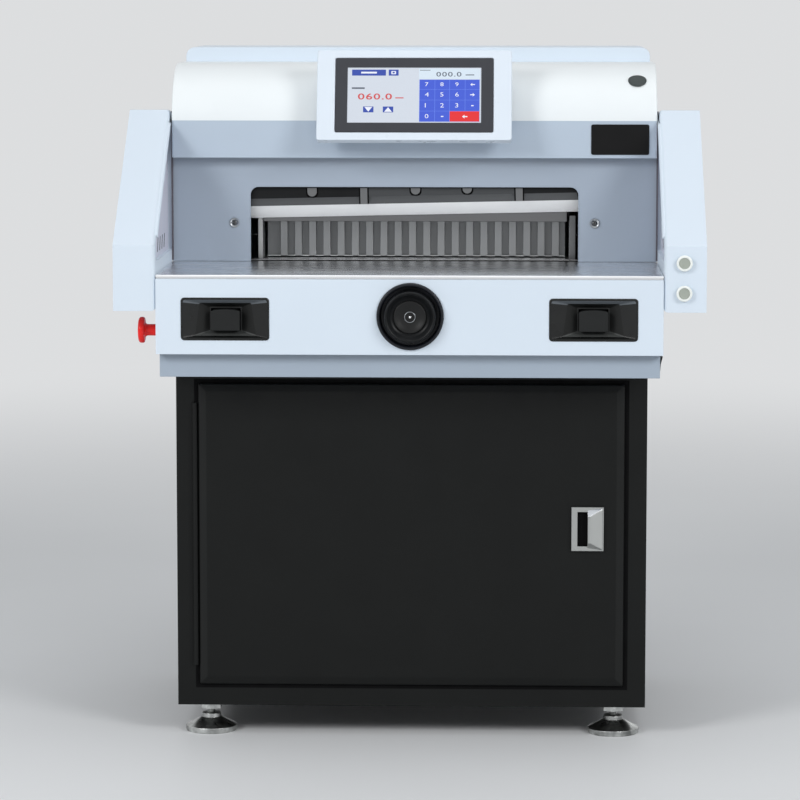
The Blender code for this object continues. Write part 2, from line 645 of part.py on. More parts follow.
# Work table with the knife slot, the drive's hole and the backgauge's slot
def make_table():
    lip_back = FASCIA_THICK + 2 * GAP
    outline = [(0, TABLE_TOP - LIP_THICK), (0, TABLE_TOP), (REAR, TABLE_TOP), (REAR, TABLE_UNDER),
               (APRON_REAR, TABLE_UNDER), (APRON_REAR, TABLE_TOP - APRON_THICK),
               (lip_back, TABLE_TOP - APRON_THICK), (lip_back, TABLE_TOP - LIP_THICK)]
    table = prism_piece("work_table", outline, 0, -TABLE_HALF, TABLE_HALF, TABLE_STEEL)
    slot = (STICK_SLOT_FRONT, STICK_SLOT_FRONT + STICK_SLOT_DEPTH)
    cut_box(table, (-STICK_SLOT_HALF, STICK_SLOT_HALF), slot,
            (TABLE_TOP - STICK_SLOT_SINK, TABLE_TOP + OVERRUN))
    cut_box(table, (-GAUGE_SLOT_HALF, GAUGE_SLOT_HALF), (GAUGE_SLOT_FRONT, GAUGE_SLOT_REAR),
            (TABLE_UNDER - OVERRUN, TABLE_TOP + OVERRUN))
    rod_room = ROD_THICK / 4
    cut_box(table, (-ROD_HOLE_LEFT, -ROD_HOLE_RIGHT), (BLADE_FRONT - rod_room, BLADE_FRONT + ROD_THICK + rod_room),
            (TABLE_UNDER - OVERRUN, TABLE_TOP + OVERRUN))
    box_piece("cutting_stick", (-STICK_SLOT_HALF + GAP, STICK_SLOT_HALF - GAP),
              (slot[0] + GAP, slot[1] - GAP),
              (TABLE_TOP - STICK_SLOT_SINK + GAP, TABLE_TOP - STICK_SINK), STICK_PLASTIC)


# Front fascia, tray and body sides
def make_base():
    fascia_top = TABLE_TOP - LIP_THICK - GAP
    fascia = box_piece("front_fascia", (-BODY_HALF, BODY_HALF), (0, FASCIA_THICK),
                       (FASCIA_BOTTOM, fascia_top), BODY_PAINT)
    through = (-OVERRUN, FASCIA_THICK + OVERRUN)
    for side in (-1, 1):
        middle = side * CUP_X
        half = CUP_WIDTH / 2 - CUP_LIP_WIDTH + GAP
        high = CUP_HEIGHT / 2 - CUP_LIP_WIDTH + GAP
        cut_box(fascia, (middle - half, middle + half), through, (CUP_Z - high, CUP_Z + high))
    cut_rod(fascia, 1, (WHEEL_X, 0, WHEEL_Z), BEZEL_BARREL + GAP, *through, sides=FINE_SIDES)

    tray = box_piece("base_tray", (-TRAY_HALF, TRAY_HALF), (TRAY_FRONT, BASE_REAR),
                     (TRAY_BOTTOM, TRAY_TOP), BODY_PAINT)
    cut_box(tray, (-TRAY_HALF + SHEET, TRAY_HALF - SHEET), (TRAY_FRONT + SHEET, BASE_REAR - SHEET),
            (TRAY_BOTTOM + SHEET, TRAY_TOP + OVERRUN))
    hole = (ROCKER_WIDTH / 2 + RUNNING_GAP, ROCKER_HEIGHT / 2 + ROCKER_ROOM)
    cut_box(tray, (TRAY_HALF - OVERRUN, TRAY_HALF + OVERRUN),
            (ROCKER_DEPTH - hole[0], ROCKER_DEPTH + hole[0]), (ROCKER_Z - hole[1], ROCKER_Z + hole[1]))

    box_piece("base_rear_panel", (-BODY_HALF, BODY_HALF), (BASE_REAR + GAP, REAR),
              (FASCIA_BOTTOM, TABLE_UNDER - GAP), BODY_PAINT)
    for name, side in (("body_side_left", -1), ("body_side_right", 1)):
        ends = sorted((side * BODY_HALF, side * (BODY_HALF - SHEET)))
        plate = box_piece(name, ends, (FASCIA_THICK + GAP, BASE_REAR), (FASCIA_BOTTOM, TABLE_UNDER - GAP),
                          BODY_PAINT)
        if side < 0:
            cut_rod(plate, 0, (0, STOP_DEPTH, STOP_Z), STOP_BODY_RADIUS + GAP,
                    -BODY_HALF - OVERRUN, -BODY_HALF + OVERRUN)


# Cabinet, its door and its feet
def make_cabinet():
    top = TRAY_BOTTOM - GAP
    cabinet = box_piece("cabinet", (-CABINET_HALF, CABINET_HALF), (CABINET_FRONT, CABINET_REAR),
                        (CABINET_BOTTOM, top), BLACK_PAINT)
    inner = CABINET_HALF - CABINET_WALL
    cut_box(cabinet, (-inner, inner), (CABINET_FRONT + CABINET_WALL, CABINET_REAR - CABINET_WALL),
            (CABINET_BOTTOM + CABINET_WALL, top - CABINET_WALL))
    opening = DOOR_HALF - DOOR_OVERLAP
    cut_box(cabinet, (-opening, opening), (CABINET_FRONT - OVERRUN, CABINET_FRONT + OVERRUN),
            (DOOR_BOTTOM + DOOR_OVERLAP, DOOR_TOP - DOOR_OVERLAP))
    for name, x, depth in FEET:
        cut_rod(cabinet, 2, (x, depth, 0), STEM_RADIUS + GAP,
                CABINET_BOTTOM - OVERRUN, CABINET_BOTTOM + OVERRUN)
        make_foot(name, x, depth)


def make_foot(name, x, depth):
    nut_top = CABINET_BOTTOM - GAP
    nut_bottom = nut_top - NUT_THICK
    nut_radius = NUT_ACROSS / 2
    profile = [(FOOT_RADIUS - FOOT_RIM / 4, 0), (FOOT_RADIUS, FOOT_RIM / 4), (FOOT_RADIUS, FOOT_RIM * 3 / 4),
               (FOOT_RADIUS - FOOT_RIM / 2, FOOT_RIM), (BOSS_RADIUS, BOSS_BOTTOM), (BOSS_RADIUS, BOSS_TOP),
               (STEM_RADIUS, BOSS_TOP), (STEM_RADIUS, CABINET_BOTTOM + STEM_ABOVE)]
    foot = round_piece(name, profile, 2, (x, depth, 0), ZINC_STEEL)
    nut = bmesh.new()
    add_rod(nut, 2, (x, depth, 0), nut_radius, nut_bottom, nut_top, 6)
    combine(foot, "UNION", nut)


def make_door():
    back = CABINET_FRONT - GAP
    front = back - DOOR_THICK
    hinge_x = -DOOR_HALF - HINGE_GAP - HINGE_RADIUS
    hinge_depth = back - HINGE_RADIUS
    height = (DOOR_BOTTOM + HINGE_END, DOOR_TOP - HINGE_END)
    round_piece("door_hinge", [(HINGE_RADIUS, height[0]), (HINGE_RADIUS, height[1])], 2,
                (hinge_x, hinge_depth, 0), BLACK_PAINT, sides=16)
    axis = bpy.data.objects.new("door_axis", None)
    axis.parent = machine
    axis.location = (hinge_x, hinge_depth, 0)
    bpy.context.scene.collection.objects.link(axis)

    bm = bmesh.new()
    edge = DOOR_BEVEL
    lows = ((-DOOR_HALF, DOOR_BOTTOM), (DOOR_HALF, DOOR_TOP))
    rim_depth = back - DOOR_THICK / 4
    rings = []
    for inset, depth in ((0, back), (0, rim_depth), (edge, front)):
        (left, bottom), (right, high) = lows
        corners = ((left + inset, bottom + inset), (right - inset, bottom + inset),
                   (right - inset, high - inset), (left + inset, high - inset))
        rings.append([bm.verts.new((x - hinge_x, depth - hinge_depth, z)) for x, z in corners])
    bm.faces.new(rings[0])
    bm.faces.new(rings[-1])
    for near, far in zip(rings, rings[1:]):
        for step in range(len(near)):
            following = (step + 1) % len(near)
            bm.faces.new((near[step], near[following], far[following], far[step]))
    make_piece("door", bm, BLACK_PAINT, parent=axis)

    handle_back = front - GAP - hinge_depth
    handle_front = handle_back - HANDLE_OUT
    left, right = HANDLE_LEFT - hinge_x, HANDLE_RIGHT - hinge_x
    lean = HANDLE_OUT / 2
    outline = [(left, handle_back), (right, handle_back), (right, handle_back - lean),
               (HANDLE_SLOT_RIGHT - hinge_x, handle_front), (left, handle_front + lean / 2)]
    handle = prism_piece("door_handle", outline, 2, HANDLE_BOTTOM, HANDLE_TOP, ZINC_STEEL, parent=axis)
    cut_box(handle, (HANDLE_SLOT_LEFT - hinge_x, HANDLE_SLOT_RIGHT - SHEET / 2 - hinge_x),
            (handle_front - OVERRUN, handle_back - HANDLE_FLOOR),
            (HANDLE_BOTTOM + HANDLE_SLOT_END, HANDLE_TOP - HANDLE_SLOT_END))


# Side guards, hollow and open at the back, with a recess on the inner face
def guard_outline(inset):
    lean = (GUARD_TOP - GUARD_BEND) / GUARD_TOP_DEPTH
    slant = inset * (hypot(1, lean) - lean)
    top = GUARD_TOP - inset
    return [(inset, GUARD_BOTTOM + inset), (inset, GUARD_BEND + inset - slant),
            (GUARD_TOP_DEPTH + inset - (inset * hypot(1, lean) / lean - inset / lean), top),
            (GUARD_DEPTH, top), (GUARD_DEPTH, GUARD_BOTTOM + inset)]


def make_guard(name, side):
    inner = BODY_HALF + GAP
    guard = prism_piece(name, guard_outline(0), 0, *sorted((side * inner, side * GUARD_OUTER)), BODY_PAINT)
    edge = GUARD_RECESS_EDGE
    recess = guard_outline(edge)
    recess[0] = (edge, TABLE_TOP + edge)
    recess[-1] = (GUARD_DEPTH + OVERRUN, TABLE_TOP + edge)
    recess[-2] = (GUARD_DEPTH + OVERRUN, recess[-2][1])
    cut_prism(guard, recess, 0, *sorted((side * (inner - OVERRUN), side * (inner + GUARD_RECESS))))
    hollow = guard_outline(GUARD_WALL)
    hollow[-1] = (GUARD_DEPTH + OVERRUN, hollow[-1][1])
    hollow[-2] = (GUARD_DEPTH + OVERRUN, hollow[-2][1])
    cut_prism(guard, hollow, 0,
              *sorted((side * (inner + GUARD_RECESS + GUARD_WALL), side * (GUARD_OUTER - GUARD_WALL))))
    return guard


# Recessed panel with the opening over the table
def make_panel():
    neck = HOOD_HALF - SHEET - GAP
    shoulder = BAND_BOTTOM - GAP
    outline = [(-TABLE_HALF, TABLE_TOP + GAP), (TABLE_HALF, TABLE_TOP + GAP), (TABLE_HALF, shoulder),
               (neck, shoulder), (neck, PANEL_TOP), (-neck, PANEL_TOP), (-neck, shoulder),
               (-TABLE_HALF, shoulder)]
    panel = prism_piece("recess_panel", outline, 1, PANEL_FRONT, PANEL_FRONT + PANEL_THICK, PANEL_PAINT)
    outline = rounded_outline(-OPENING_HALF, OPENING_HALF, TABLE_TOP - OVERRUN, OPENING_TOP, 0, OPENING_ROUND)
    cut_prism(panel, outline, 1, PANEL_FRONT - OVERRUN, PANEL_FRONT + PANEL_THICK + OVERRUN)


# Hood with its curved front, and the cover behind it
def hood_curve(inset, from_share=0, to_share=1, steps=8):
    """Points up the curved front, from the band's top to the hood's top, each a share of the quarter turn."""
    points = []
    for step in range(steps + 1):
        angle = pi / 2 * (from_share + (to_share - from_share) * step / steps)
        depth = HOOD_FRONT + HOOD_CURVE - (HOOD_CURVE - inset) * cos(angle)
        points.append((depth, BAND_TOP + (HOOD_TOP - BAND_TOP - inset) * sin(angle)))
    return points


def make_hood():
    outline = [(HOOD_FRONT, BAND_BOTTOM)] + hood_curve(0)
    outline += [(HOOD_REAR, HOOD_TOP), (HOOD_REAR, TABLE_TOP + GAP), (HOOD_CHEEK_FRONT, TABLE_TOP + GAP),
                (HOOD_CHEEK_FRONT, BAND_BOTTOM)]
    hood = prism_piece("hood", outline, 0, -HOOD_HALF, HOOD_HALF, WHITE_PAINT)
    hollow = [(HOOD_FRONT + SHEET, BAND_BOTTOM - OVERRUN)] + hood_curve(SHEET)
    hollow += [(HOOD_REAR - SHEET, HOOD_TOP - SHEET), (HOOD_REAR - SHEET, TUNNEL_TOP),
               (HOOD_REAR + OVERRUN, TUNNEL_TOP), (HOOD_REAR + OVERRUN, TABLE_TOP - OVERRUN),
               (HOOD_FRONT + SHEET, TABLE_TOP - OVERRUN)]
    inner = HOOD_HALF - SHEET
    cut_prism(hood, hollow, 0, -inner, inner)

    front = HOOD_REAR + GAP
    foot = TABLE_TOP + GAP
    outline = rounded_outline(-REAR_COVER_HALF, REAR_COVER_HALF, foot, REAR_COVER_TOP, 0, REAR_COVER_ROUND)
    cover = prism_piece("rear_cover", outline, 1, front, REAR_COVER_REAR, WHITE_PAINT)
    wall_round = REAR_COVER_ROUND - SHEET
    hollow = rounded_outline(-REAR_COVER_HALF + SHEET, REAR_COVER_HALF - SHEET, foot - OVERRUN,
                             REAR_COVER_TOP - SHEET, 0, wall_round)
    cut_prism(cover, hollow, 1, front + SHEET, REAR_COVER_REAR - SHEET)
    tunnel_side = TUNNEL_HALF + GAP
    cut_box(cover, (-tunnel_side, tunnel_side), (front - OVERRUN, REAR_COVER_REAR + OVERRUN),
            (foot - OVERRUN, TUNNEL_TOP))

    tunnel_top = TUNNEL_TOP - GAP
    table_cover = box_piece("rear_table_cover", (-TUNNEL_HALF, TUNNEL_HALF), (front, REAR),
                            (TABLE_TOP + GAP, tunnel_top), BODY_PAINT)
    cut_box(table_cover, (-TUNNEL_HALF + SHEET, TUNNEL_HALF - SHEET), (front - OVERRUN, REAR - SHEET),
            (TABLE_TOP - OVERRUN, tunnel_top - SHEET))


def make_hood_trim():
    rise = PLUG_Z - BAND_TOP
    share = rise / (HOOD_TOP - BAND_TOP)
    level = (1 - share ** 2) ** 0.5
    depth = HOOD_FRONT + HOOD_CURVE * (1 - level)
    lean = atan2(share / (HOOD_TOP - BAND_TOP), level / HOOD_CURVE)
    centre = (PLUG_X, depth, PLUG_Z)
    bm = bmesh.new()
    profile = [(PLUG_RADIUS, -GAP), (PLUG_RADIUS, -PLUG_THICK + PLUG_THICK / 4),
               (PLUG_RADIUS - PLUG_THICK / 4, -PLUG_THICK)]
    add_round(bm, [(radius, along + depth) for radius, along in profile], 1, (PLUG_X, 0, PLUG_Z))
    make_piece("hood_plug", bm, BLACK_PLASTIC, origin=centre, turn=(-lean, 0, 0), smooth=True)

    outline = rounded_outline(PLATE_LEFT, PLATE_RIGHT, PLATE_BOTTOM, PLATE_TOP, PLATE_ROUND, PLATE_ROUND)
    prism_piece("blank_plate", outline, 1, HOOD_FRONT - GAP - PLATE_THICK, HOOD_FRONT - GAP, BLACK_PLASTIC)


# Touch screen in its housing, drawn level and then leaned back
def make_screen():
    lean = atan2(SCREEN_TOP_DEPTH - SCREEN_BOTTOM_DEPTH, SCREEN_TOP - SCREEN_BOTTOM)
    height = hypot(SCREEN_TOP_DEPTH - SCREEN_BOTTOM_DEPTH, SCREEN_TOP - SCREEN_BOTTOM)
    half = height / 2
    depth = (SCREEN_TOP_DEPTH + SCREEN_BOTTOM_DEPTH) / 2
    middle = (SCREEN_TOP + SCREEN_BOTTOM) / 2
    stand = bpy.data.objects.new("screen_axis", None)
    stand.parent = machine
    stand.location = (SCREEN_X, depth, middle)
    stand.rotation_euler = (-lean, 0, 0)
    bpy.context.scene.collection.objects.link(stand)

    wide = HOUSING_WIDTH / 2
    outline = rounded_outline(-wide, wide, -half, half, HOUSING_ROUND, HOUSING_ROUND)
    housing = prism_piece("screen_housing", outline, 1, 0, HOUSING_THICK, HOUSING_PLASTIC, parent=stand)
    size = BEZEL_WIDTH / 2, BEZEL_HEIGHT / 2
    outline = rounded_outline(-size[0] - GAP, size[0] + GAP, -size[1] - GAP, size[1] + GAP,
                              BEZEL_ROUND, BEZEL_ROUND)
    cut_prism(housing, outline, 1, -OVERRUN, SCREEN_POCKET)
    outline = rounded_outline(-size[0], size[0], -size[1], size[1], BEZEL_ROUND, BEZEL_ROUND)
    bezel = prism_piece("screen_bezel", outline, 1, -BEZEL_RISE, SCREEN_POCKET - GAP, BLACK_PLASTIC,
                        parent=stand)
    display = DISPLAY_WIDTH / 2, DISPLAY_HEIGHT / 2
    face = DISPLAY_SINK - BEZEL_RISE
    cut_box(bezel, (-display[0] - GAP, display[0] + GAP), (-OVERRUN, face + DISPLAY_THICK + GAP),
            (-display[1] - GAP, display[1] + GAP))
    box_piece("touch_screen", (-display[0], display[0]), (face, face + DISPLAY_THICK),
              (-display[1], display[1]), SCREEN_GLASS, parent=stand)

    behind = HOUSING_THICK + GAP
    back_low = (depth - half * sin(lean) + behind * cos(lean), middle - half * cos(lean) - behind * sin(lean))
    low, high = [(back_low[0] + share * height * sin(lean), back_low[1] + share * height * cos(lean))
                 for share in (BRACKET_LOW_SHARE, BRACKET_HIGH_SHARE)]
    low_share = max(low[1] - BAND_TOP, 0) / (HOOD_TOP - BAND_TOP)
    high_share = (high[1] - BAND_TOP) / (HOOD_TOP - BAND_TOP)
    turns = [2 / pi * atan2(share, (1 - share ** 2) ** 0.5) for share in (low_share, high_share)]
    along_hood = [(curve_depth - GAP - GAP, z) for curve_depth, z in hood_curve(0, *turns)]
    foot = [(HOOD_FRONT - GAP - GAP, low[1])] if low[1] < BAND_TOP else []
    prism_piece("screen_bracket", [high, low] + foot + along_hood, 0, SCREEN_X - BRACKET_HALF,
                SCREEN_X + BRACKET_HALF, BODY_PAINT)


# Frame of the head, with the slanted slot that guides the knife
def capsule_outline(start, end, radius):
    heading = atan2(end[1] - start[1], end[0] - start[0])
    points = []
    for (x, z), first in ((end, heading - pi / 2), (start, heading + pi / 2)):
        for step in range(2 * CORNER_STEPS + 1):
            angle = first + pi * step / (2 * CORNER_STEPS)
            points.append((x + radius * cos(angle), z + radius * sin(angle)))
    return points


def make_frame():
    foot = TABLE_TOP + GAP
    for name, side in (("frame_left", -1), ("frame_right", 1)):
        ends = sorted((side * FRAME_INNER, side * (FRAME_INNER + FRAME_THICK)))
        box_piece(name, ends, (FRAME_FRONT, FRAME_REAR), (foot, FRAME_TOP), CAST_GREY)
    beam_end = FRAME_INNER - GAP
    beam = box_piece("crossbeam", (-beam_end, beam_end), (CLAMP_FRONT + SHEET, CROSSBEAM_REAR),
                     (CROSSBEAM_BOTTOM, CROSSBEAM_BOTTOM + CROSSBEAM_THICK), CAST_GREY)
    for side in (-1, 1):
        cut_rod(beam, 2, (side * TIE_X, TIE_DEPTH, 0), TIE_RADIUS + RUNNING_GAP, CROSSBEAM_BOTTOM - OVERRUN,
                CROSSBEAM_BOTTOM + CROSSBEAM_THICK + OVERRUN, sides=16)
    plate_front = BLOCK_REAR + RUNNING_GAP
    plate = box_piece("knife_guide_plate", (-GUIDE_PLATE_HALF, GUIDE_PLATE_HALF),
                      (plate_front, plate_front + GUIDE_PLATE_THICK),
                      (GUIDE_PLATE_BOTTOM, CROSSBEAM_BOTTOM - GAP), DARK_STEEL)
    slot = capsule_outline((-KNIFE_SHIFT, PIVOT_Z - KNIFE_DROP), (0, PIVOT_Z), GUIDE_SLOT_WIDTH / 2)
    cut_prism(plate, slot, 1, plate_front - OVERRUN, plate_front + GUIDE_PLATE_THICK + OVERRUN)


# Knife, its carrier on the guide block, and the pull rod and lever that drive them
def make_knife():
    pivot = (0, CARRIER_FRONT, PIVOT_Z)
    tilted = {"origin": pivot, "turn": (0, -KNIFE_TILT, 0)}
    edge = PIVOT_Z - EDGE_BELOW_PIVOT
    carrier_back = CARRIER_FRONT + CARRIER_THICK

    block = box_piece("knife_guide_block", (-BLOCK_HALF, BLOCK_HALF), (BLADE_FRONT, BLOCK_REAR),
                      (PIVOT_Z - BLOCK_HEIGHT / 2, PIVOT_Z + BLOCK_HEIGHT / 2), DARK_STEEL, origin=pivot)
    join_rod(block, 1, pivot, PIVOT_RADIUS, CARRIER_FRONT, BLADE_FRONT + GAP, sides=24)
    join_rod(block, 1, pivot, GUIDE_SLOT_WIDTH / 2 - RUNNING_GAP, BLOCK_REAR - GAP,
             BLOCK_REAR + GUIDE_PLATE_THICK, sides=24)

    carrier = box_piece("knife_carrier", (-CARRIER_LEFT, CARRIER_RIGHT), (CARRIER_FRONT, carrier_back),
                        (edge + CARRIER_ABOVE_EDGE, PIVOT_Z + CARRIER_ABOVE_PIVOT), DARK_STEEL, **tilted)
    join_box(carrier, (EAR_X, -CARRIER_LEFT + EAR_RADIUS), (CARRIER_FRONT, carrier_back),
             (EAR_Z - EAR_RADIUS, EAR_Z + EAR_RADIUS))
    ear = (EAR_X, 0, EAR_Z)
    join_rod(carrier, 1, ear, EAR_RADIUS, CARRIER_FRONT, carrier_back, sides=24)
    join_rod(carrier, 1, ear, EAR_PIN_RADIUS, CARRIER_FRONT + GAP, BLADE_FRONT + ROD_THICK + RUNNING_GAP,
             sides=16)
    stud_front = CARRIER_FRONT - STUD_THICK
    for share in STUD_PLACES_SHARE:
        x = share * STUD_PITCH
        low = PIVOT_Z - STUD_BELOW_PIVOT + STUD_WIDTH / 2
        outline = capsule_outline((x, low), (x, low + STUD_HEIGHT), STUD_WIDTH / 2)
        join_prism(carrier, outline, 1, stud_front, CARRIER_FRONT + GAP)
    for share in LUG_PLACES_SHARE:
        x = share * STUD_PITCH
        join_box(carrier, (x - LUG_WIDTH / 2, x + LUG_WIDTH / 2), (stud_front, CARRIER_FRONT + GAP),
                 (PIVOT_Z - LUG_BELOW_PIVOT, PIVOT_Z - STUD_BELOW_PIVOT + STUD_HEIGHT))
    cut_rod(carrier, 1, pivot, PIVOT_RADIUS + RUNNING_GAP, CARRIER_FRONT - OVERRUN, carrier_back + OVERRUN,
            sides=24)

    blade_back = BLADE_FRONT + BLADE_THICK
    outline = [(BLADE_FRONT, edge + BEVEL_HEIGHT), (blade_back, edge), (blade_back, edge + BLADE_HEIGHT),
               (BLADE_FRONT, edge + BLADE_HEIGHT)]
    prism_piece("knife_blade", outline, 0, -CARRIER_LEFT, CARRIER_RIGHT, KNIFE_STEEL, **tilted)


def make_drive():
    ear = Vector((EAR_X, EAR_Z - PIVOT_Z)).to_3d()
    ear.rotate(Matrix.Rotation(KNIFE_TILT, 3, "Z"))
    upper = (ear.x, PIVOT_Z + ear.y)
    lower = (ROD_LOWER_X, ROD_LOWER_Z)
    rod_back = BLADE_FRONT + ROD_THICK
    rod = prism_piece("pull_rod", capsule_outline(upper, lower, ROD_WIDTH / 2), 1, BLADE_FRONT, rod_back,
                      DARK_STEEL, origin=(upper[0], BLADE_FRONT, upper[1]))
    for (x, z), radius in ((upper, EAR_RADIUS), (lower, ROD_EYE_RADIUS)):
        join_rod(rod, 1, (x, 0, z), radius, BLADE_FRONT, rod_back, sides=24)
    for (x, z), radius in ((upper, EAR_PIN_RADIUS + RUNNING_GAP), (lower, ROD_EYE_BORE)):
        cut_rod(rod, 1, (x, 0, z), radius, BLADE_FRONT - OVERRUN, rod_back + OVERRUN, sides=24)

    lever_front = rod_back + RUNNING_GAP
    lever_back = lever_front + LEVER_THICK
    pivot = (LEVER_PIVOT_X, LEVER_PIVOT_Z)
    rise = ROD_LOWER_Z - LEVER_PIVOT_Z
    reach = (LEVER_ARM ** 2 - rise ** 2) ** 0.5
    tip = (LEVER_PIVOT_X - reach, ROD_LOWER_Z)
    lever = prism_piece("drive_lever", capsule_outline(pivot, tip, LEVER_WIDTH / 2), 1, lever_front,
                        lever_back, DARK_STEEL, origin=(pivot[0], lever_front, pivot[1]))
    join_rod(lever, 1, (pivot[0], 0, pivot[1]), LEVER_HUB_RADIUS, lever_front, lever_back, sides=24)
    join_rod(lever, 1, (tip[0], 0, tip[1]), LEVER_PIN_RADIUS, BLADE_FRONT, lever_front + GAP, sides=16)
    cut_rod(lever, 1, (pivot[0], 0, pivot[1]), SHAFT_RADIUS + RUNNING_GAP, lever_front - OVERRUN,
            lever_back + OVERRUN, sides=24)

    floor = TRAY_BOTTOM + SHEET + GAP
    gear_front = lever_back + RUNNING_GAP
    gearbox = box_piece("gearbox", (-GEARBOX_LEFT, -GEARBOX_RIGHT), (gear_front, GEARBOX_REAR),
                        (floor, GEARBOX_TOP), CAST_GREY)
    join_rod(gearbox, 1, (pivot[0], 0, pivot[1]), SHAFT_RADIUS, lever_front, gear_front + GAP, sides=24)
    centre = (0, (gear_front + GEARBOX_REAR) / 2, MOTOR_Z)
    start = -GEARBOX_RIGHT + GAP
    flange = start + MOTOR_FLANGE
    profile = [(MOTOR_FLANGE_RADIUS, start), (MOTOR_FLANGE_RADIUS, flange), (MOTOR_RADIUS, flange),
               (MOTOR_RADIUS, -SCREW_RADIUS - MOTOR_BESIDE_SCREW)]
    round_piece("main_motor", profile, 0, centre, CAST_GREY, sides=24)


# Clamp in front of the pile, and the ribbed backgauge behind it
def make_clamp():
    clamp = box_piece("clamp_beam", (-CLAMP_HALF, CLAMP_HALF), (CLAMP_FRONT, CLAMP_REAR),
                      (CLAMP_BOTTOM, CLAMP_TOP), GAUGE_ALUMINIUM)
    for side in (-1, 1):
        join_rod(clamp, 2, (side * TIE_X, TIE_DEPTH, 0), TIE_RADIUS, CLAMP_TOP - GAP, TIE_TOP, sides=16)

    guide_ends = {"side_guide_left": (-GUIDE_LEFT_OUTER, -GUIDE_LEFT_INNER),
                  "side_guide_right": (GUIDE_RIGHT_INNER, GUIDE_RIGHT_OUTER)}
    for name, ends in guide_ends.items():
        box_piece(name, ends, (GUIDE_FRONT, REAR - SHEET - SHEET), (TABLE_TOP + GAP, TABLE_TOP + GUIDE_HEIGHT),
                  ZINC_STEEL)


def make_backgauge():
    foot = TABLE_TOP + RUNNING_GAP
    rib_back = GAUGE_FRONT + GAUGE_RIB_DEPTH
    gauge_back = rib_back + GAUGE_BACK_THICK
    comb = [(-GAUGE_HALF, gauge_back), (-GAUGE_HALF, rib_back)]
    for place_index in range(1 - RIBS_EACH_SIDE, RIBS_EACH_SIDE + 1):
        right = place_index * RIB_PITCH
        left = right - RIB_WIDTH
        comb += [(left, rib_back), (left, GAUGE_FRONT), (right, GAUGE_FRONT), (right, rib_back)]
    comb += [(GAUGE_HALF, rib_back), (GAUGE_HALF, gauge_back)]
    prism_piece("backgauge", comb, 2, foot, foot + GAUGE_HEIGHT, GAUGE_ALUMINIUM)

    start = gauge_back + GAP
    carriage_top = SCREW_Z + CARRIAGE_HEIGHT / 2
    carriage = box_piece("gauge_carriage", (-CARRIAGE_HALF, CARRIAGE_HALF), (start, start + CARRIAGE_LENGTH),
                         (SCREW_Z - CARRIAGE_HEIGHT / 2, carriage_top), CAST_GREY)
    join_box(carriage, (-NECK_HALF, NECK_HALF), (start, start + CARRIAGE_LENGTH),
             (carriage_top - GAP, foot + GAUGE_HEIGHT / 2))
    join_box(carriage, (-NECK_BRACKET_HALF, NECK_BRACKET_HALF), (start, start + NECK_BRACKET_THICK),
             (foot, foot + GAUGE_HEIGHT - SHEET))
    screw_axis = (0, 0, SCREW_Z)
    cut_rod(carriage, 1, screw_axis, SCREW_RADIUS + RUNNING_GAP, start - OVERRUN,
            start + CARRIAGE_LENGTH + OVERRUN, sides=24)
    round_piece("lead_screw", [(SCREW_RADIUS, SCREW_FRONT), (SCREW_RADIUS, BEARING_FRONT - GAP)], 1,
                screw_axis, ZINC_STEEL, sides=24, origin=(0, SCREW_FRONT, SCREW_Z))
    half = GAUGE_MOTOR_SIZE / 2
    box_piece("gauge_motor", (-half, half), (GAUGE_MOTOR_FRONT, SCREW_FRONT - GAP),
              (SCREW_Z - half, SCREW_Z + half), CAST_GREY)
    box_piece("screw_bearing", (-BEARING_HALF, BEARING_HALF), (BEARING_FRONT, BASE_REAR),
              (SCREW_Z - BEARING_HALF, TABLE_UNDER - GAP), CAST_GREY)


# Cut buttons in their cups
def make_cups():
    for hand, side in (("left", -1), ("right", 1)):
        centre = side * CUP_X
        wide, high = CUP_WIDTH / 2, CUP_HEIGHT / 2
        outline = rounded_outline(centre - wide, centre + wide, CUP_Z - high, CUP_Z + high,
                                  CUP_ROUND, CUP_ROUND)
        cup = prism_piece("cup_" + hand, outline, 1, -CUP_LIP, -GAP, BLACK_PLASTIC)
        barrel = [size - CUP_LIP_WIDTH for size in (wide, high)]
        join_box(cup, (centre - barrel[0], centre + barrel[0]), (-GAP - GAP, CUP_DEPTH),
                 (CUP_Z - barrel[1], CUP_Z + barrel[1]))
        combine(cup, "DIFFERENCE", cup_hollow(centre, barrel))
        hole = [size / 2 + RUNNING_GAP for size in (BUTTON_WIDTH, BUTTON_HEIGHT)]
        cut_box(cup, (centre - hole[0], centre + hole[0]), (CUP_LIP, CUP_DEPTH + OVERRUN),
                (BUTTON_Z - hole[1], BUTTON_Z + hole[1]))
        make_cut_button("cut_button_" + hand, centre)


def cup_hollow(centre, barrel):
    bm = bmesh.new()
    slope = [(mouth - floor / 2) / (CUP_FLOOR + CUP_LIP)
             for mouth, floor in zip(barrel, (CUP_FLOOR_WIDTH, CUP_FLOOR_HEIGHT))]
    mouth = [size - CUP_LIP_WIDTH + lean * CUP_LIP for size, lean in zip(barrel, slope)]
    rings = []
    for wide, high, depth in ((*mouth, -CUP_LIP - CUP_LIP),
                              (CUP_FLOOR_WIDTH / 2, CUP_FLOOR_HEIGHT / 2, CUP_FLOOR)):
        corners = ((centre - wide, CUP_Z - high), (centre + wide, CUP_Z - high),
                   (centre + wide, CUP_Z + high), (centre - wide, CUP_Z + high))
        rings.append([bm.verts.new((x, depth, z)) for x, z in corners])
    bm.faces.new(rings[0])
    bm.faces.new(rings[1])
    for step in range(len(rings[0])):
        following = (step + 1) % len(rings[0])
        bm.faces.new((rings[0][step], rings[0][following], rings[1][following], rings[1][step]))
    return bm


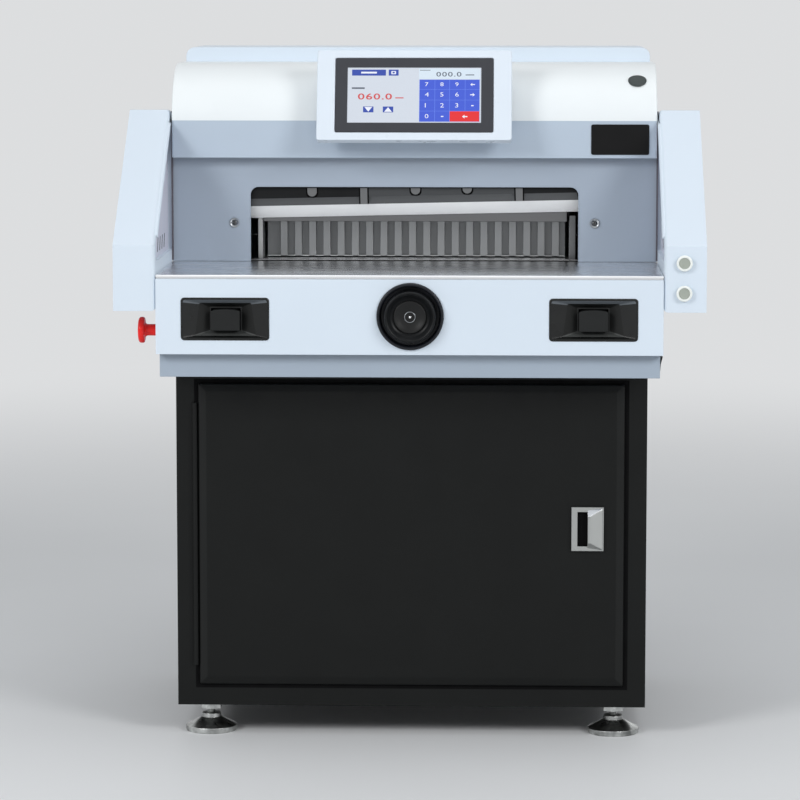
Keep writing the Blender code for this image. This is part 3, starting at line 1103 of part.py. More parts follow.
def make_cut_button(name, centre):
    wide, high = BUTTON_WIDTH / 2, BUTTON_HEIGHT / 2
    crown_foot = BUTTON_Z + high - BUTTON_CROWN
    outline = [(centre - wide, BUTTON_Z - high), (centre + wide, BUTTON_Z - high)]
    for step in range(2 * CORNER_STEPS + 1):
        angle = pi * step / (2 * CORNER_STEPS)
        outline.append((centre + wide * cos(angle), crown_foot + BUTTON_CROWN * sin(angle)))
    button = prism_piece(name, outline, 1, BUTTON_FACE, CUP_DEPTH + BUTTON_FLANGE, BLACK_PLASTIC,
                         origin=(centre, BUTTON_FACE, BUTTON_Z))
    join_box(button, (centre - wide - BUTTON_FLANGE_EXTRA, centre + wide + BUTTON_FLANGE_EXTRA),
             (CUP_DEPTH + RUNNING_GAP, CUP_DEPTH + RUNNING_GAP + BUTTON_FLANGE),
             (BUTTON_Z - high - BUTTON_FLANGE_EXTRA, BUTTON_Z + high + BUTTON_FLANGE_EXTRA))


# Handwheel in its bezel
def make_handwheel():
    axis = (WHEEL_X, 0, WHEEL_Z)
    floor_back = BEZEL_FLOOR + SHEET
    bezel_profile = [(BEZEL_OUTER - BEZEL_OUT / 3, -BEZEL_OUT), (BEZEL_OUTER, -BEZEL_OUT * 2 / 3),
                     (BEZEL_OUTER, -GAP), (BEZEL_BARREL, -GAP), (BEZEL_BARREL, floor_back)]
    bezel = round_piece("handwheel_bezel", bezel_profile, 1, axis, BLACK_PLASTIC, sides=FINE_SIDES)
    cut_rod(bezel, 1, axis, BEZEL_INNER, -OVERRUN, BEZEL_FLOOR, sides=FINE_SIDES)
    cut_rod(bezel, 1, axis, SPINDLE_RADIUS + RUNNING_GAP, 0, floor_back + OVERRUN, sides=24)

    front = -WHEEL_STANDS_OUT
    dish = front + KNOB_DISH_DEPTH
    hub = dish - KNOB_HUB_RISE
    profile = [(0, SPINDLE_END), (SPINDLE_RADIUS, SPINDLE_END), (SPINDLE_RADIUS, KNOB_BACK),
               (KNOB_RADIUS, KNOB_BACK), (KNOB_RADIUS, front + KNOB_HUB_RISE), (KNOB_LIP + KNOB_HUB_RISE / 2, front),
               (KNOB_LIP, front), (KNOB_DISH, dish), (KNOB_HUB, dish), (KNOB_HUB - KNOB_HUB_RISE / 2, hub),
               (0, hub)]
    round_piece("handwheel", profile, 1, axis, BLACK_PLASTIC, sides=FINE_SIDES, origin=axis)

    encoder = box_piece("wheel_encoder", (WHEEL_X - ENCODER_HALF, WHEEL_X + ENCODER_HALF),
                        (floor_back + GAP, ENCODER_REAR), (WHEEL_Z - ENCODER_HALF, WHEEL_Z + ENCODER_HALF),
                        CAST_GREY)
    cut_rod(encoder, 1, axis, SPINDLE_RADIUS + RUNNING_GAP, floor_back - OVERRUN, SPINDLE_END + RUNNING_GAP,
            sides=24)


# Emergency stop, push buttons, mains switch, control box and mains inlet
def make_controls():
    axis = (0, STOP_DEPTH, STOP_Z)
    face = -BODY_HALF
    profile = [(STOP_BODY_RADIUS, face + STOP_BODY_IN), (STOP_BODY_RADIUS, face - GAP),
               (STOP_COLLAR_RADIUS, face - GAP), (STOP_COLLAR_RADIUS, face - STOP_COLLAR_OUT)]
    collar = round_piece("stop_collar", profile, 0, axis, BUTTON_WHITE)
    cut_rod(collar, 0, axis, STOP_STEM_RADIUS + RUNNING_GAP, face - STOP_COLLAR_OUT - OVERRUN,
            face + STOP_BODY_IN + OVERRUN)
    head = face - STOP_HEAD_OUT
    under = head + STOP_HEAD_THICK
    profile = [(0, head), (STOP_HEAD_RADIUS * 2 / 3, head + STOP_DOME / 4), (STOP_HEAD_RADIUS, head + STOP_DOME),
               (STOP_HEAD_RADIUS, under), (STOP_STEM_RADIUS, under), (STOP_STEM_RADIUS, face + STOP_BODY_IN / 2),
               (0, face + STOP_BODY_IN / 2)]
    round_piece("e_stop", profile, 0, axis, STOP_RED, origin=(face, STOP_DEPTH, STOP_Z))

    for name, z in (("push_button_upper", PUSH_UPPER_Z), ("push_button_lower", PUSH_LOWER_Z)):
        axis = (PUSH_X, 0, z)
        under = -PUSH_OUT + PUSH_HEAD_THICK
        profile = [(0, -PUSH_OUT), (PUSH_HEAD_RADIUS - PUSH_HEAD_THICK / 2, -PUSH_OUT),
                   (PUSH_HEAD_RADIUS, -PUSH_OUT + PUSH_HEAD_THICK / 2), (PUSH_HEAD_RADIUS, under),
                   (PUSH_RADIUS, under), (PUSH_RADIUS, PUSH_IN), (0, PUSH_IN)]
        round_piece(name, profile, 1, axis, BUTTON_WHITE, origin=axis)
        guard = bpy.data.objects["guard_right"]
        cut_rod(guard, 1, axis, PUSH_RADIUS + RUNNING_GAP, -OVERRUN, GUARD_WALL + GUARD_WALL)

    low, high = ROCKER_Z - ROCKER_HEIGHT / 2 + GAP, ROCKER_Z + ROCKER_HEIGHT / 2 - GAP
    inside = TRAY_HALF - ROCKER_IN
    outline = [(inside, low), (inside, high), (TRAY_HALF + ROCKER_OUT, high),
               (TRAY_HALF + ROCKER_OUT - 2 * ROCKER_WEDGE, ROCKER_Z), (TRAY_HALF + ROCKER_WEDGE, low)]
    prism_piece("power_rocker", outline, 1, ROCKER_DEPTH - ROCKER_WIDTH / 2, ROCKER_DEPTH + ROCKER_WIDTH / 2,
                BLACK_PLASTIC, origin=(TRAY_HALF, ROCKER_DEPTH, ROCKER_Z))

    box_piece("control_box", (CONTROL_LEFT, CONTROL_RIGHT), (CONTROL_FRONT, CONTROL_REAR),
              (TRAY_BOTTOM + SHEET + GAP, CONTROL_TOP), BLACK_PLASTIC)
    inlet_low, inlet_high = INLET_Z - INLET_HEIGHT / 2, INLET_Z + INLET_HEIGHT / 2
    inlet = box_piece("mains_inlet", (INLET_X - INLET_HALF, INLET_X + INLET_HALF),
                      (BASE_REAR + GAP, REAR), (inlet_low, inlet_high), BLACK_PLASTIC)
    cut_box(inlet, (INLET_X - INLET_HALF + INLET_WALL, INLET_X + INLET_HALF - INLET_WALL),
            (REAR - INLET_POCKET, REAR + OVERRUN),
            (inlet_low + INLET_WALL, inlet_high - INLET_WALL))


make_table()
make_base()
make_cabinet()
make_door()
make_guard("guard_left", -1)
make_guard("guard_right", 1)
make_panel()
make_hood()
make_hood_trim()
make_screen()
make_frame()
make_knife()
make_drive()
make_clamp()
make_backgauge()
make_cups()
make_handwheel()
make_controls()
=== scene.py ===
# Electric paper cutter on its cabinet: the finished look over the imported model
import json
import math

import bmesh
import bpy
from mathutils import Matrix, Vector


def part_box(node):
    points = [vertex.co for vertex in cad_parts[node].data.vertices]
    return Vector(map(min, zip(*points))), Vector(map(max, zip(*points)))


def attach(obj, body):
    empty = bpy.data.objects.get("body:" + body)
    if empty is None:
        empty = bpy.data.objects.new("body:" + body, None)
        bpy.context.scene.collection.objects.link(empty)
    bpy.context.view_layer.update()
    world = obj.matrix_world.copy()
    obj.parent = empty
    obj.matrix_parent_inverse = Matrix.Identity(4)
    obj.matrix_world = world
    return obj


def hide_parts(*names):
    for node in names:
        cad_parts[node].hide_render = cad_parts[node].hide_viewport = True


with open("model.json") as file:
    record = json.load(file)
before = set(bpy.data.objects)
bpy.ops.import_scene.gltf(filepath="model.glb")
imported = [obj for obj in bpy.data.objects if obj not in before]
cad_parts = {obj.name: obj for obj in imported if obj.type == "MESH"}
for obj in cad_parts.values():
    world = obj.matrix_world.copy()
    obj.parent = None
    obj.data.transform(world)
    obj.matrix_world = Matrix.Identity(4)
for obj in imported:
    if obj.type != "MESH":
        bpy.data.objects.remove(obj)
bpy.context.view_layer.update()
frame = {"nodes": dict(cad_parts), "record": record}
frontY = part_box("front_fascia")[0].y  # depths below are measured back from the fascia's face
print("packed model loaded")


# Camera at the photograph's place
view = {"place": (0.16456, frontY - 5.3, 1.1615), "down": 6.69, "left": 1.924, "lens": 159.45, "sensor": 36,
        "reach": 60}
cameraData = bpy.data.cameras.new("photo_view")
cameraData.lens = view["lens"]
cameraData.sensor_width = view["sensor"]
cameraData.clip_end = view["reach"]
camera = bpy.data.objects.new("photo_view", cameraData)
camera.location = view["place"]
camera.rotation_euler = (math.radians(90 - view["down"]), 0, math.radians(view["left"]))
bpy.context.scene.collection.objects.link(camera)
bpy.context.scene.camera = camera


# Finishes
def setInputs(tree, node, values):
    # Sets a node's sockets, and links those whose value is another node's output
    for socket, value in values.items():
        if isinstance(value, bpy.types.NodeSocket):
            tree.links.new(value, node.inputs[socket])
        else:
            node.inputs[socket].default_value = value
    return node


def addNode(tree, kind, values):
    return setInputs(tree, tree.nodes.new("ShaderNode" + kind), values)


def setShader(material, values):
    setInputs(material.node_tree, material.node_tree.nodes["Principled BSDF"], values)


def startFinish(name, colour, values):
    made = bpy.data.materials.new(name)
    made.use_nodes = True
    setShader(made, {"Base Color": (*colour, 1), **values})
    return made


def grain(material, scale, stretch=(1, 1, 1), detail=3.0):
    # A noise pattern fixed to the piece, its grains about 1/scale metres long
    tree = material.node_tree
    place = addNode(tree, "TexCoord", {})
    mapping = addNode(tree, "Mapping", {"Vector": place.outputs["Object"], "Scale": stretch})
    noise = addNode(tree, "TexNoise", {"Vector": mapping.outputs["Vector"], "Scale": scale, "Detail": detail})
    return noise.outputs["Fac"]


def spread(material, pattern, low, high, start=0.35, end=0.65):
    # Turns a pattern into values or colours from low to high
    ramp = addNode(material.node_tree, "ValToRGB", {"Fac": pattern})
    for element, place, value in zip(ramp.color_ramp.elements, (start, end), (low, high)):
        element.position = place
        element.color = (*value, 1) if isinstance(value, tuple) else (value, value, value, 1)
    return ramp.outputs["Color"]


def shaded(colour, factor):
    return tuple(channel * factor for channel in colour)


def useColour(material, pattern, colour, share):
    # Lets the colour waver by a share of itself
    tint = spread(material, pattern, shaded(colour, 1 - share), shaded(colour, 1 + share), 0.3, 0.7)
    setShader(material, {"Base Color": tint})


def useRoughness(material, pattern, look):
    middle, smudge = look["roughness"], look["smudge"]
    setShader(material, {"Roughness": spread(material, pattern, middle - smudge, middle + smudge)})


def useBumps(material, patterns):
    # patterns holds (pattern, height in metres) pairs, stacked into one normal
    last = {}
    for pattern, height in patterns:
        values = {"Strength": 1.0, "Distance": height, "Height": pattern, **last}
        bump = addNode(material.node_tree, "Bump", values)
        last = {"Normal": bump.outputs["Normal"]}
    setShader(material, last)


def powderCoat(name, colour, look, **changes):
    look = {**look, **changes}
    made = startFinish(name, colour, {"Roughness": look["roughness"], "Specular IOR Level": look["specular"]})
    useColour(made, grain(made, look["cloudScale"], detail=2), colour, look["cloud"])
    useRoughness(made, grain(made, look["smudgeScale"]), look)
    useBumps(made, [(grain(made, look["peelScale"], detail=2), look["peel"]),
                    (grain(made, look["speckScale"], detail=1), look["speck"])])
    return made


def brushedMetal(name, colour, look, **changes):
    look = {**look, **changes}
    made = startFinish(name, colour, {"Roughness": look["roughness"], "Metallic": 1.0})
    streaks = grain(made, look["streakScale"], look["stretch"], 4)
    useColour(made, grain(made, look["cloudScale"]), colour, look["cloud"])
    useRoughness(made, streaks, look)
    useBumps(made, [(streaks, look["groove"])])
    return made


paintLook = {"roughness": 0.36, "specular": 0.32, "cloud": 0.012, "cloudScale": 5, "smudge": 0.05,
             "smudgeScale": 14, "peel": 0.00006, "peelScale": 420, "speck": 0.000012, "speckScale": 1800}
textureLook = {"roughness": 0.45, "specular": 0.3, "cloud": 0.10, "cloudScale": 9, "smudge": 0.07,
               "smudgeScale": 20, "peel": 0.00012, "peelScale": 900, "speck": 0.00004, "speckScale": 2600}
mouldLook = {"roughness": 0.42, "specular": 0.28, "cloud": 0.06, "cloudScale": 16, "smudge": 0.06,
             "smudgeScale": 40, "peel": 0.00003, "peelScale": 1500, "speck": 0.00001, "speckScale": 4200}


def moulding(name, colour, **changes):
    return powderCoat(name + "_moulding", colour, mouldLook, **changes)


bodyPaint = powderCoat("body_powder_coat", (0.69, 0.775, 0.865), paintLook)
whitePaint = powderCoat("hood_powder_coat", (0.83, 0.87, 0.885), paintLook)
bandPaint = powderCoat("band_powder_coat", (0.47, 0.55, 0.645), paintLook)
panelPaint = powderCoat("panel_powder_coat", (0.37, 0.43, 0.51), paintLook)
trayPaint = powderCoat("tray_powder_coat", (0.37, 0.435, 0.515), paintLook)
linerPaint = powderCoat("guard_liner_coat", (0.68, 0.69, 0.79), paintLook)
blackPaint = powderCoat("cabinet_texture_coat", (0.0046, 0.0052, 0.0050), textureLook, specular=0.2)
doorSlopePaintedLight = powderCoat("door_slope_coat", (0.0085, 0.0092, 0.0090), textureLook, specular=0.2)
castPaint = powderCoat("casting_paint", (0.16, 0.17, 0.18), textureLook, cloud=0.04)
blackMoulding = moulding("black", (0.0090, 0.0100, 0.0102))
plateMoulding = moulding("plate", (0.0045, 0.0045, 0.0048), specular=0.18)
plugMoulding = moulding("plug", (0.045, 0.055, 0.055))
# The cup's slopes get lighter copies of its black, chosen by the way each one faces: painted reflection,
# light and shade
cupMoulding = moulding("cup", (0.0035, 0.0041, 0.0041), roughness=0.3, specular=0.4)
cupPaintedReflection = moulding("cup_facet", (0.115, 0.130, 0.145), roughness=0.35)
cupPaintedLight = moulding("cup_slope", (0.050, 0.053, 0.052))
cupShade = moulding("cup_shade", (0.012, 0.0125, 0.0122), specular=0.2)
bezelFinish = moulding("wheel_bezel", (0.010, 0.0115, 0.016), roughness=0.26)
wheelMoulding = moulding("wheel", (0.0035, 0.0042, 0.0050), roughness=0.38, specular=0.2)
discMoulding = moulding("wheel_disc", (0.0045, 0.0048, 0.0048), roughness=0.36, specular=0.3)
housingMoulding = moulding("screen_housing", (0.72, 0.79, 0.87), roughness=0.33, cloud=0.01)
bezelMoulding = moulding("screen_bezel", (0.050, 0.052, 0.060), roughness=0.34, specular=0.2, cloud=0.02)
buttonMoulding = moulding("ivory", (0.87, 0.90, 0.87), roughness=0.28, cloud=0.015)
dishMoulding = moulding("button_dish", (0.36, 0.39, 0.345), roughness=0.3)
stopMoulding = moulding("red", (0.94, 0.022, 0.018), roughness=0.3, cloud=0.05)
stickMoulding = powderCoat("cutting_stick_plastic", (0.006, 0.006, 0.006), mouldLook, roughness=0.7,
                           specular=0.03)
gapShade = powderCoat("shaded_gap", (0.115, 0.105, 0.125), mouldLook, roughness=0.7)
# Flat black laid where slots, gaps and hollows would lie in shadow: painted shade
paintedShadeBlack = powderCoat("slot_black", (0.0022, 0.0022, 0.0025), mouldLook, roughness=0.7, specular=0.08)

groundLook = {"roughness": 0.27, "cloud": 0.03, "cloudScale": 7, "smudge": 0.02, "streakScale": 320,
              "stretch": (0.03, 1, 1), "groove": 0.0000002}
uprightLook = {**groundLook, "stretch": (1, 1, 0.04)}
plainLook = {**groundLook, "stretch": (1, 1, 1), "streakScale": 60, "groove": 0.0000004}
tableSteel = brushedMetal("ground_table_steel", (0.86, 0.865, 0.88), groundLook, smudge=0.01,
                          groove=0.00000002)
# A brighter steel: painted highlight on the table's polished front face and on the pull's upward facets
highlightSteel = brushedMetal("polished_table_edge", (0.97, 0.98, 1.0), groundLook, roughness=0.3, cloud=0.01)
knifeSteel = brushedMetal("ground_knife_steel", (0.83, 0.845, 0.855), groundLook, stretch=(1, 1, 0.05),
                          roughness=0.55, cloud=0.02)
bladeFlat = brushedMetal("dull_knife_flat", (0.13, 0.135, 0.14), groundLook, roughness=0.45)
carrierGrey = brushedMetal("carrier_grey", (0.082, 0.086, 0.090), groundLook, roughness=0.45)
blackSteel = brushedMetal("blackened_steel", (0.022, 0.023, 0.024), groundLook, stretch=(0.2, 1, 1),
                          roughness=0.45, cloud=0.2)
clampMetal = brushedMetal("milled_clamp", (0.17, 0.172, 0.176), groundLook, stretch=(0.04, 1, 1),
                          roughness=0.42)
gaugeMetal = brushedMetal("milled_gauge", (0.34, 0.348, 0.355), uprightLook, roughness=0.4)
gaugeGroovePaintedShade = brushedMetal("milled_gauge_groove", (0.225, 0.231, 0.236), uprightLook, roughness=0.45)
guideSteel = brushedMetal("plated_guide_steel", (0.50, 0.51, 0.51), plainLook, roughness=0.34)
studSteel = brushedMetal("stud_steel", (0.20, 0.205, 0.21), plainLook, roughness=0.36)
# The feet's zinc is blotched light and dark: painted reflections
footZincPaintedReflections = brushedMetal("foot_zinc", (0.46, 0.47, 0.46), plainLook, roughness=0.29, cloud=0.7, cloudScale=40)
pullMetal = brushedMetal("pull_zinc", (0.45, 0.46, 0.45), plainLook, roughness=0.36, cloud=0.01)
zincSteel = brushedMetal("zinc_plate", (0.50, 0.51, 0.50), plainLook, cloud=0.06, cloudScale=60)
chromeSteel = brushedMetal("bright_screw", (0.80, 0.81, 0.82), plainLook, roughness=0.14)
screwSteel = brushedMetal("dark_screw", (0.085, 0.088, 0.092), plainLook, roughness=0.26)
cupSteel = brushedMetal("dull_screw_cup", (0.34, 0.36, 0.38), plainLook, roughness=0.34)

litLook = {"glow": 0.62, "gloss": 0.16, "coat": 0.12, "coatRoughness": 0.06, "specular": 0.15, "dots": 2600,
           "waveScale": 30, "wave": 0.00001, "tint": (0.94, 1.04)}


def lit(name, colour):
    # A lit part of the display under its cover glass
    glow = litLook["glow"]
    made = startFinish(name, shaded(colour, 1 - glow), {
        "Roughness": litLook["gloss"], "Coat Weight": litLook["coat"],
        "Coat Roughness": litLook["coatRoughness"], "Specular IOR Level": litLook["specular"],
        "Emission Strength": glow})
    low, high = litLook["tint"]
    dots = grain(made, litLook["dots"], detail=0)
    setShader(made, {"Emission Color": spread(made, dots, shaded(colour, low), shaded(colour, high))})
    useBumps(made, [(grain(made, litLook["waveScale"], detail=1), litLook["wave"])])
    return made


displayPale = lit("display_pale", (0.66, 0.71, 0.79))
displayLight = lit("display_light", (0.70, 0.80, 0.90))
displayDeep = lit("display_deep_blue", (0.055, 0.095, 0.42))
displayBlue = lit("display_key_blue", (0.075, 0.130, 0.68))
displayLine = lit("display_key_line", (0.16, 0.26, 0.86))
displayRed = lit("display_red", (0.80, 0.045, 0.05))
displayDigit = lit("display_red_digit", (0.66, 0.10, 0.10))
displayGrey = lit("display_grey_digit", (0.13, 0.15, 0.19))
displayWhite = lit("display_white", (0.85, 0.88, 0.98))
print("finishes made")


# Shaping and placing pieces
near = 0.0001  # corners and faces closer than this to a plane lie on it
sides = {"left": -1, "right": 1}
axes = {"x": Vector((1, 0, 0)), "y": Vector((0, 1, 0)), "z": Vector((0, 0, 1))}
bodyOf = {node: body for body, nodes in frame["record"]["behaviour"]["bodies"].items() for node in nodes}
slotOf = {part["node"]: part["material_slot"] for part in frame["record"]["subparts"]}


def at(x, depth, z):
    return Vector((x, frontY + depth, z))


def isAt(place, plane):
    return abs(place - plane) < near


def placePiece(bm, name, finish, body="machine_body", slotName="body_paint", standsFor=(), crease=32):
    # Writes a bmesh as a smooth-shaded piece with sharp creases, riding on its body
    for face in bm.faces:
        face.smooth = True
    for edge in bm.edges:
        edge.smooth = edge.is_manifold and edge.calc_face_angle(0) < math.radians(crease)
    mesh = bpy.data.meshes.new(name)
    bm.to_mesh(mesh)
    bm.free()
    piece = bpy.data.objects.new(name, mesh)
    for material in finish if isinstance(finish, list) else [finish]:
        mesh.materials.append(material)
    bpy.context.scene.collection.objects.link(piece)
    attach(piece, body)
    if standsFor:
        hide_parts(*standsFor)
    return piece


def finishPiece(bm, name, finish, *words, merge=0.000002, **more):
    # Closes the seams and turns the faces outward first
    bmesh.ops.remove_doubles(bm, verts=bm.verts, dist=merge)
    bmesh.ops.recalc_face_normals(bm, faces=bm.faces)
    return placePiece(bm, name, finish, *words, **more)


def roundEdges(piece, width, segments=2, angle=35):
    bevel = piece.modifiers.new("soft edges", "BEVEL")
    bevel.width = width
    bevel.segments = segments
    bevel.limit_method = "ANGLE"
    bevel.angle_limit = math.radians(angle)
    bevel.harden_normals = True
    return piece


def addWall(piece, thick):
    wall = piece.modifiers.new("sheet", "SOLIDIFY")
    wall.thickness = thick
    wall.offset = -1
    return wall


def merged(node):
    # The solid of a node as a bmesh with whole faces
    bm = bmesh.new()
    bm.from_mesh(frame["nodes"][node].data)
    bmesh.ops.remove_doubles(bm, verts=bm.verts, dist=0.000005)
    bmesh.ops.dissolve_limit(bm, angle_limit=math.radians(0.6), verts=bm.verts, edges=bm.edges)
    return bm


def dress(bm, node, finish, width, segments=2, angle=35):
    piece = finishPiece(bm, node + "_dressed", finish, bodyOf[node], slotOf[node], (node,))
    return roundEdges(piece, width, segments, angle)


def softLine(points, roundness, steps=4, closed=False):
    # Rounds the corners of a line of points; roundness is one size, or one for each point
    sizes = roundness if isinstance(roundness, (list, tuple)) else [roundness] * len(points)
    points = [Vector(point) for point in points]
    line = []
    for index, point in enumerate(points):
        if (not closed and index in (0, len(points) - 1)) or not sizes[index]:
            line.append(point)
            continue
        before, after = points[index - 1], points[(index + 1) % len(points)]
        size = min(sizes[index], (before - point).length * 0.49, (after - point).length * 0.49)
        start = point + (before - point).normalized() * size
        end = point + (after - point).normalized() * size
        for step in range(steps + 1):
            share = step / steps
            line.append(start * (1 - share) ** 2 + point * 2 * share * (1 - share) + end * share ** 2)
    return line


def boxOutline(left, right, low, high):
    return [(left, low), (right, low), (right, high), (left, high)]


def roundedBox(width, height, size, steps=5):
    return softLine(boxOutline(-width / 2, width / 2, -height / 2, height / 2), size, steps, closed=True)


def addTurned(bm, profile, centre, axis, segments=48, loop=False):
    # Spins a profile of (radius, place along the axis) round the axis through centre
    across = axes["x"] if axis != "x" else axes["y"]
    line = [bm.verts.new(Vector(centre) + across * radius + axes[axis] * reach) for radius, reach in profile]
    pairs = list(zip(line, line[1:])) + ([(line[-1], line[0])] if loop else [])
    edges = [bm.edges.new(pair) for pair in pairs]
    bmesh.ops.spin(bm, geom=line + edges, cent=centre, axis=axes[axis], dvec=(0, 0, 0), angle=2 * math.pi,
                   steps=segments, use_merge=True)


def turned(name, profile, centre, axis, finish, segments=48, soft=0.0, loop=False, **words):
    bm = bmesh.new()
    addTurned(bm, softLine(profile, soft, closed=loop) if soft else profile, centre, axis, segments, loop)
    return finishPiece(bm, name, finish, merge=0.00001, **words)


def pickVerts(items):
    return [item for item in items if isinstance(item, bmesh.types.BMVert)]


def pushFaces(bm, faces, way):
    # Extrudes faces by a vector
    moved = bmesh.ops.extrude_face_region(bm, geom=faces)["geom"]
    bmesh.ops.translate(bm, verts=pickVerts(moved), vec=way)


def sinkRing(bm, edges, way):
    # Extrudes a ring of edges by a vector and closes its far end; returns far corners, end and walls
    sunk = bmesh.ops.extrude_edge_only(bm, edges=edges)["geom"]
    far = pickVerts(sunk)
    bmesh.ops.translate(bm, verts=far, vec=way)
    rim = [item for item in sunk
           if isinstance(item, bmesh.types.BMEdge) and all(vert in far for vert in item.verts)]
    end = bmesh.ops.contextual_create(bm, geom=rim)["faces"]
    return far, end, [item for item in sunk if isinstance(item, bmesh.types.BMFace)]


def ringEdges(bm, corners):
    # The corners joined into a closed ring of edges
    verts = [bm.verts.new(corner) for corner in corners]
    return [bm.edges.new(pair) for pair in zip(verts, verts[1:] + verts[:1])]


def bevelEdges(bm, edges, offset, segments=2, material=-1):
    bmesh.ops.bevel(bm, geom=edges, offset=offset, segments=segments, profile=0.5, affect="EDGES",
                    material=material)


def cutAcross(bm, place, axis):
    everything = bm.verts[:] + bm.edges[:] + bm.faces[:]
    bmesh.ops.bisect_plane(bm, geom=everything, plane_co=place, plane_no=axes[axis])


def joinFlat(bm):
    bmesh.ops.dissolve_limit(bm, angle_limit=math.radians(0.5), verts=bm.verts, edges=bm.edges,
                             delimit={"MATERIAL"})


def addSlab(bm, outline, axis, start, end):
    # Extrudes a flat outline along x or y; its points hold the other two coordinates
    corners = [(start, a, b) if axis == "x" else (a, start, b) for a, b in outline]
    face = bm.faces.new([bm.verts.new(corner) for corner in corners])
    pushFaces(bm, [face], axes[axis] * (end - start))


def addBlock(bm, low, high, bevel=0.0):
    low, high = Vector(low), Vector(high)
    matrix = Matrix.Translation((low + high) / 2) @ Matrix.Diagonal((*(high - low), 1))
    verts = bmesh.ops.create_cube(bm, size=1, matrix=matrix)["verts"]
    if bevel:
        bevelEdges(bm, list({edge for vert in verts for edge in vert.link_edges}), bevel)


print("shaping tools ready")


# Sheet metal and castings whose solids have the right shape already
sheetEdges = {
    "base_tray": (trayPaint, 0.0009), "base_rear_panel": (bodyPaint, 0.0008),
    "body_side_left": (bodyPaint, 0.0008), "body_side_right": (bodyPaint, 0.0008),
    "cabinet": (blackPaint, 0.0010), "recess_panel": (panelPaint, 0.0006), "rear_cover": (bodyPaint, 0.0012),
    "screen_bracket": (bodyPaint, 0.0010), "cutting_stick": (stickMoulding, 0.0005),
    "clamp_beam": (clampMetal, 0.0008), "power_rocker": (blackMoulding, 0.0006),
    "blank_plate": (plateMoulding, 0.0003), "control_box": (blackMoulding, 0.0015),
    "gearbox": (castPaint, 0.0015), "gauge_carriage": (castPaint, 0.0008), "pull_rod": (blackSteel, 0.0006),
    "drive_lever": (blackSteel, 0.0006), "side_guide_left": (guideSteel, 0.0006),
}
for node, (finish, width) in sheetEdges.items():
    dress(merged(node), node, finish, width)
bm = merged("side_guide_right")
for face in bm.faces:
    face.material_index = 1 if face.normal.y < -0.9 else 0
dress(bm, "side_guide_right", [guideSteel, studSteel], 0.0006)
hiddenFinishes = {
    "door_hinge": blackPaint, "frame_left": castPaint, "frame_right": castPaint, "crossbeam": castPaint,
    "knife_guide_plate": blackSteel, "knife_guide_block": blackSteel, "main_motor": castPaint,
    "lead_screw": zincSteel, "screw_bearing": castPaint, "gauge_motor": castPaint, "wheel_encoder": castPaint,
}
for node, finish in hiddenFinishes.items():
    frame["nodes"][node].data.materials.clear()
    frame["nodes"][node].data.materials.append(finish)
print("sheet metal dressed")


# Table and fascia: a rounded front edge in brighter steel, a polished edge with a painted highlight, over a
# dark joint
table = {"top": 0.7276, "round": 0.0020, "edge": 0.0003, "fasciaTop": 0.7238, "joint": 0.0024,
         "fasciaEdge": 0.0009, "coverDrop": 0.0002, "coverEdge": 0.0010}


def dropVerts(bm, level, amount):
    # Lowers the corners that lie at a level
    for vert in bm.verts:
        if isAt(vert.co.z, level):
            vert.co.z -= amount


bm = merged("work_table")
frontEdges = [edge for edge in bm.edges
              if all(isAt(vert.co.y, frontY) and isAt(vert.co.z, table["top"]) for vert in edge.verts)]
# The front face takes the brighter steel: a polished edge with a painted highlight
for face in bm.faces:
    if face.normal.y < -0.9 and isAt(face.calc_center_median().y, frontY):
        face.material_index = 1
bevelEdges(bm, frontEdges, table["round"], 4, 1)
dress(bm, "work_table", [tableSteel, highlightSteel], table["edge"], angle=50)
bm = merged("front_fascia")
dropVerts(bm, table["fasciaTop"], table["joint"])
dress(bm, "front_fascia", bodyPaint, table["fasciaEdge"])
bm = merged("rear_table_cover")
dropVerts(bm, min(vert.co.z for vert in bm.verts), table["coverDrop"])
dress(bm, "rear_table_cover", bodyPaint, table["coverEdge"])
print("table dressed")


# Knife: a ground bevel under a darker flat; its carrier is black with a grey middle and lighter studs, the
# black ends being painted shade and the black rims round the studs painted shadow
knife = {"carrierFace": 0.276, "greyFrom": -0.0815, "greyTo": 0.163, "stud": 0.0005, "slot": 0.0022,
         "slotOut": 0.0004, "edge": 0.00015, "carrierEdge": 0.0006}
bm = merged("knife_blade")
for face in bm.faces:
    face.material_index = 0 if face.normal.z < -0.2 and face.normal.y < -0.2 else 1
dress(bm, "knife_blade", [knifeSteel, bladeFlat], knife["edge"])
bm = merged("knife_carrier")
carrierY = frontY + knife["carrierFace"]
for x in (knife["greyFrom"], knife["greyTo"]):
    cutAcross(bm, (x, 0, 0), "x")
studShadows = bmesh.new()
for face in bm.faces:
    middle = face.calc_center_median()
    # Studs get stud steel and a black rim of painted shadow; the front between greyFrom and greyTo turns
    # grey, the ends stay black as painted shade
    if middle.y < carrierY - knife["stud"]:
        face.material_index = 2
        if face.normal.y < -0.9:
            drop = knife["slot"] if len(face.verts) > 6 else 0  # only a round stud's painted shadow reaches below it
            rim = [(vert.co.x + math.copysign(knife["slot"], vert.co.x - middle.x),
                    vert.co.z - (drop if vert.co.z < middle.z else 0)) for vert in face.verts]
            addSlab(studShadows, rim, "y", carrierY - knife["slotOut"], carrierY + knife["slotOut"])
    elif knife["greyFrom"] < middle.x < knife["greyTo"] and face.normal.y < -0.5:
        face.material_index = 1
finishPiece(studShadows, "stud_slots", paintedShadeBlack, bodyOf["knife_carrier"], slotOf["knife_carrier"])
dress(bm, "knife_carrier", [blackSteel, carrierGrey, studSteel], knife["carrierEdge"])
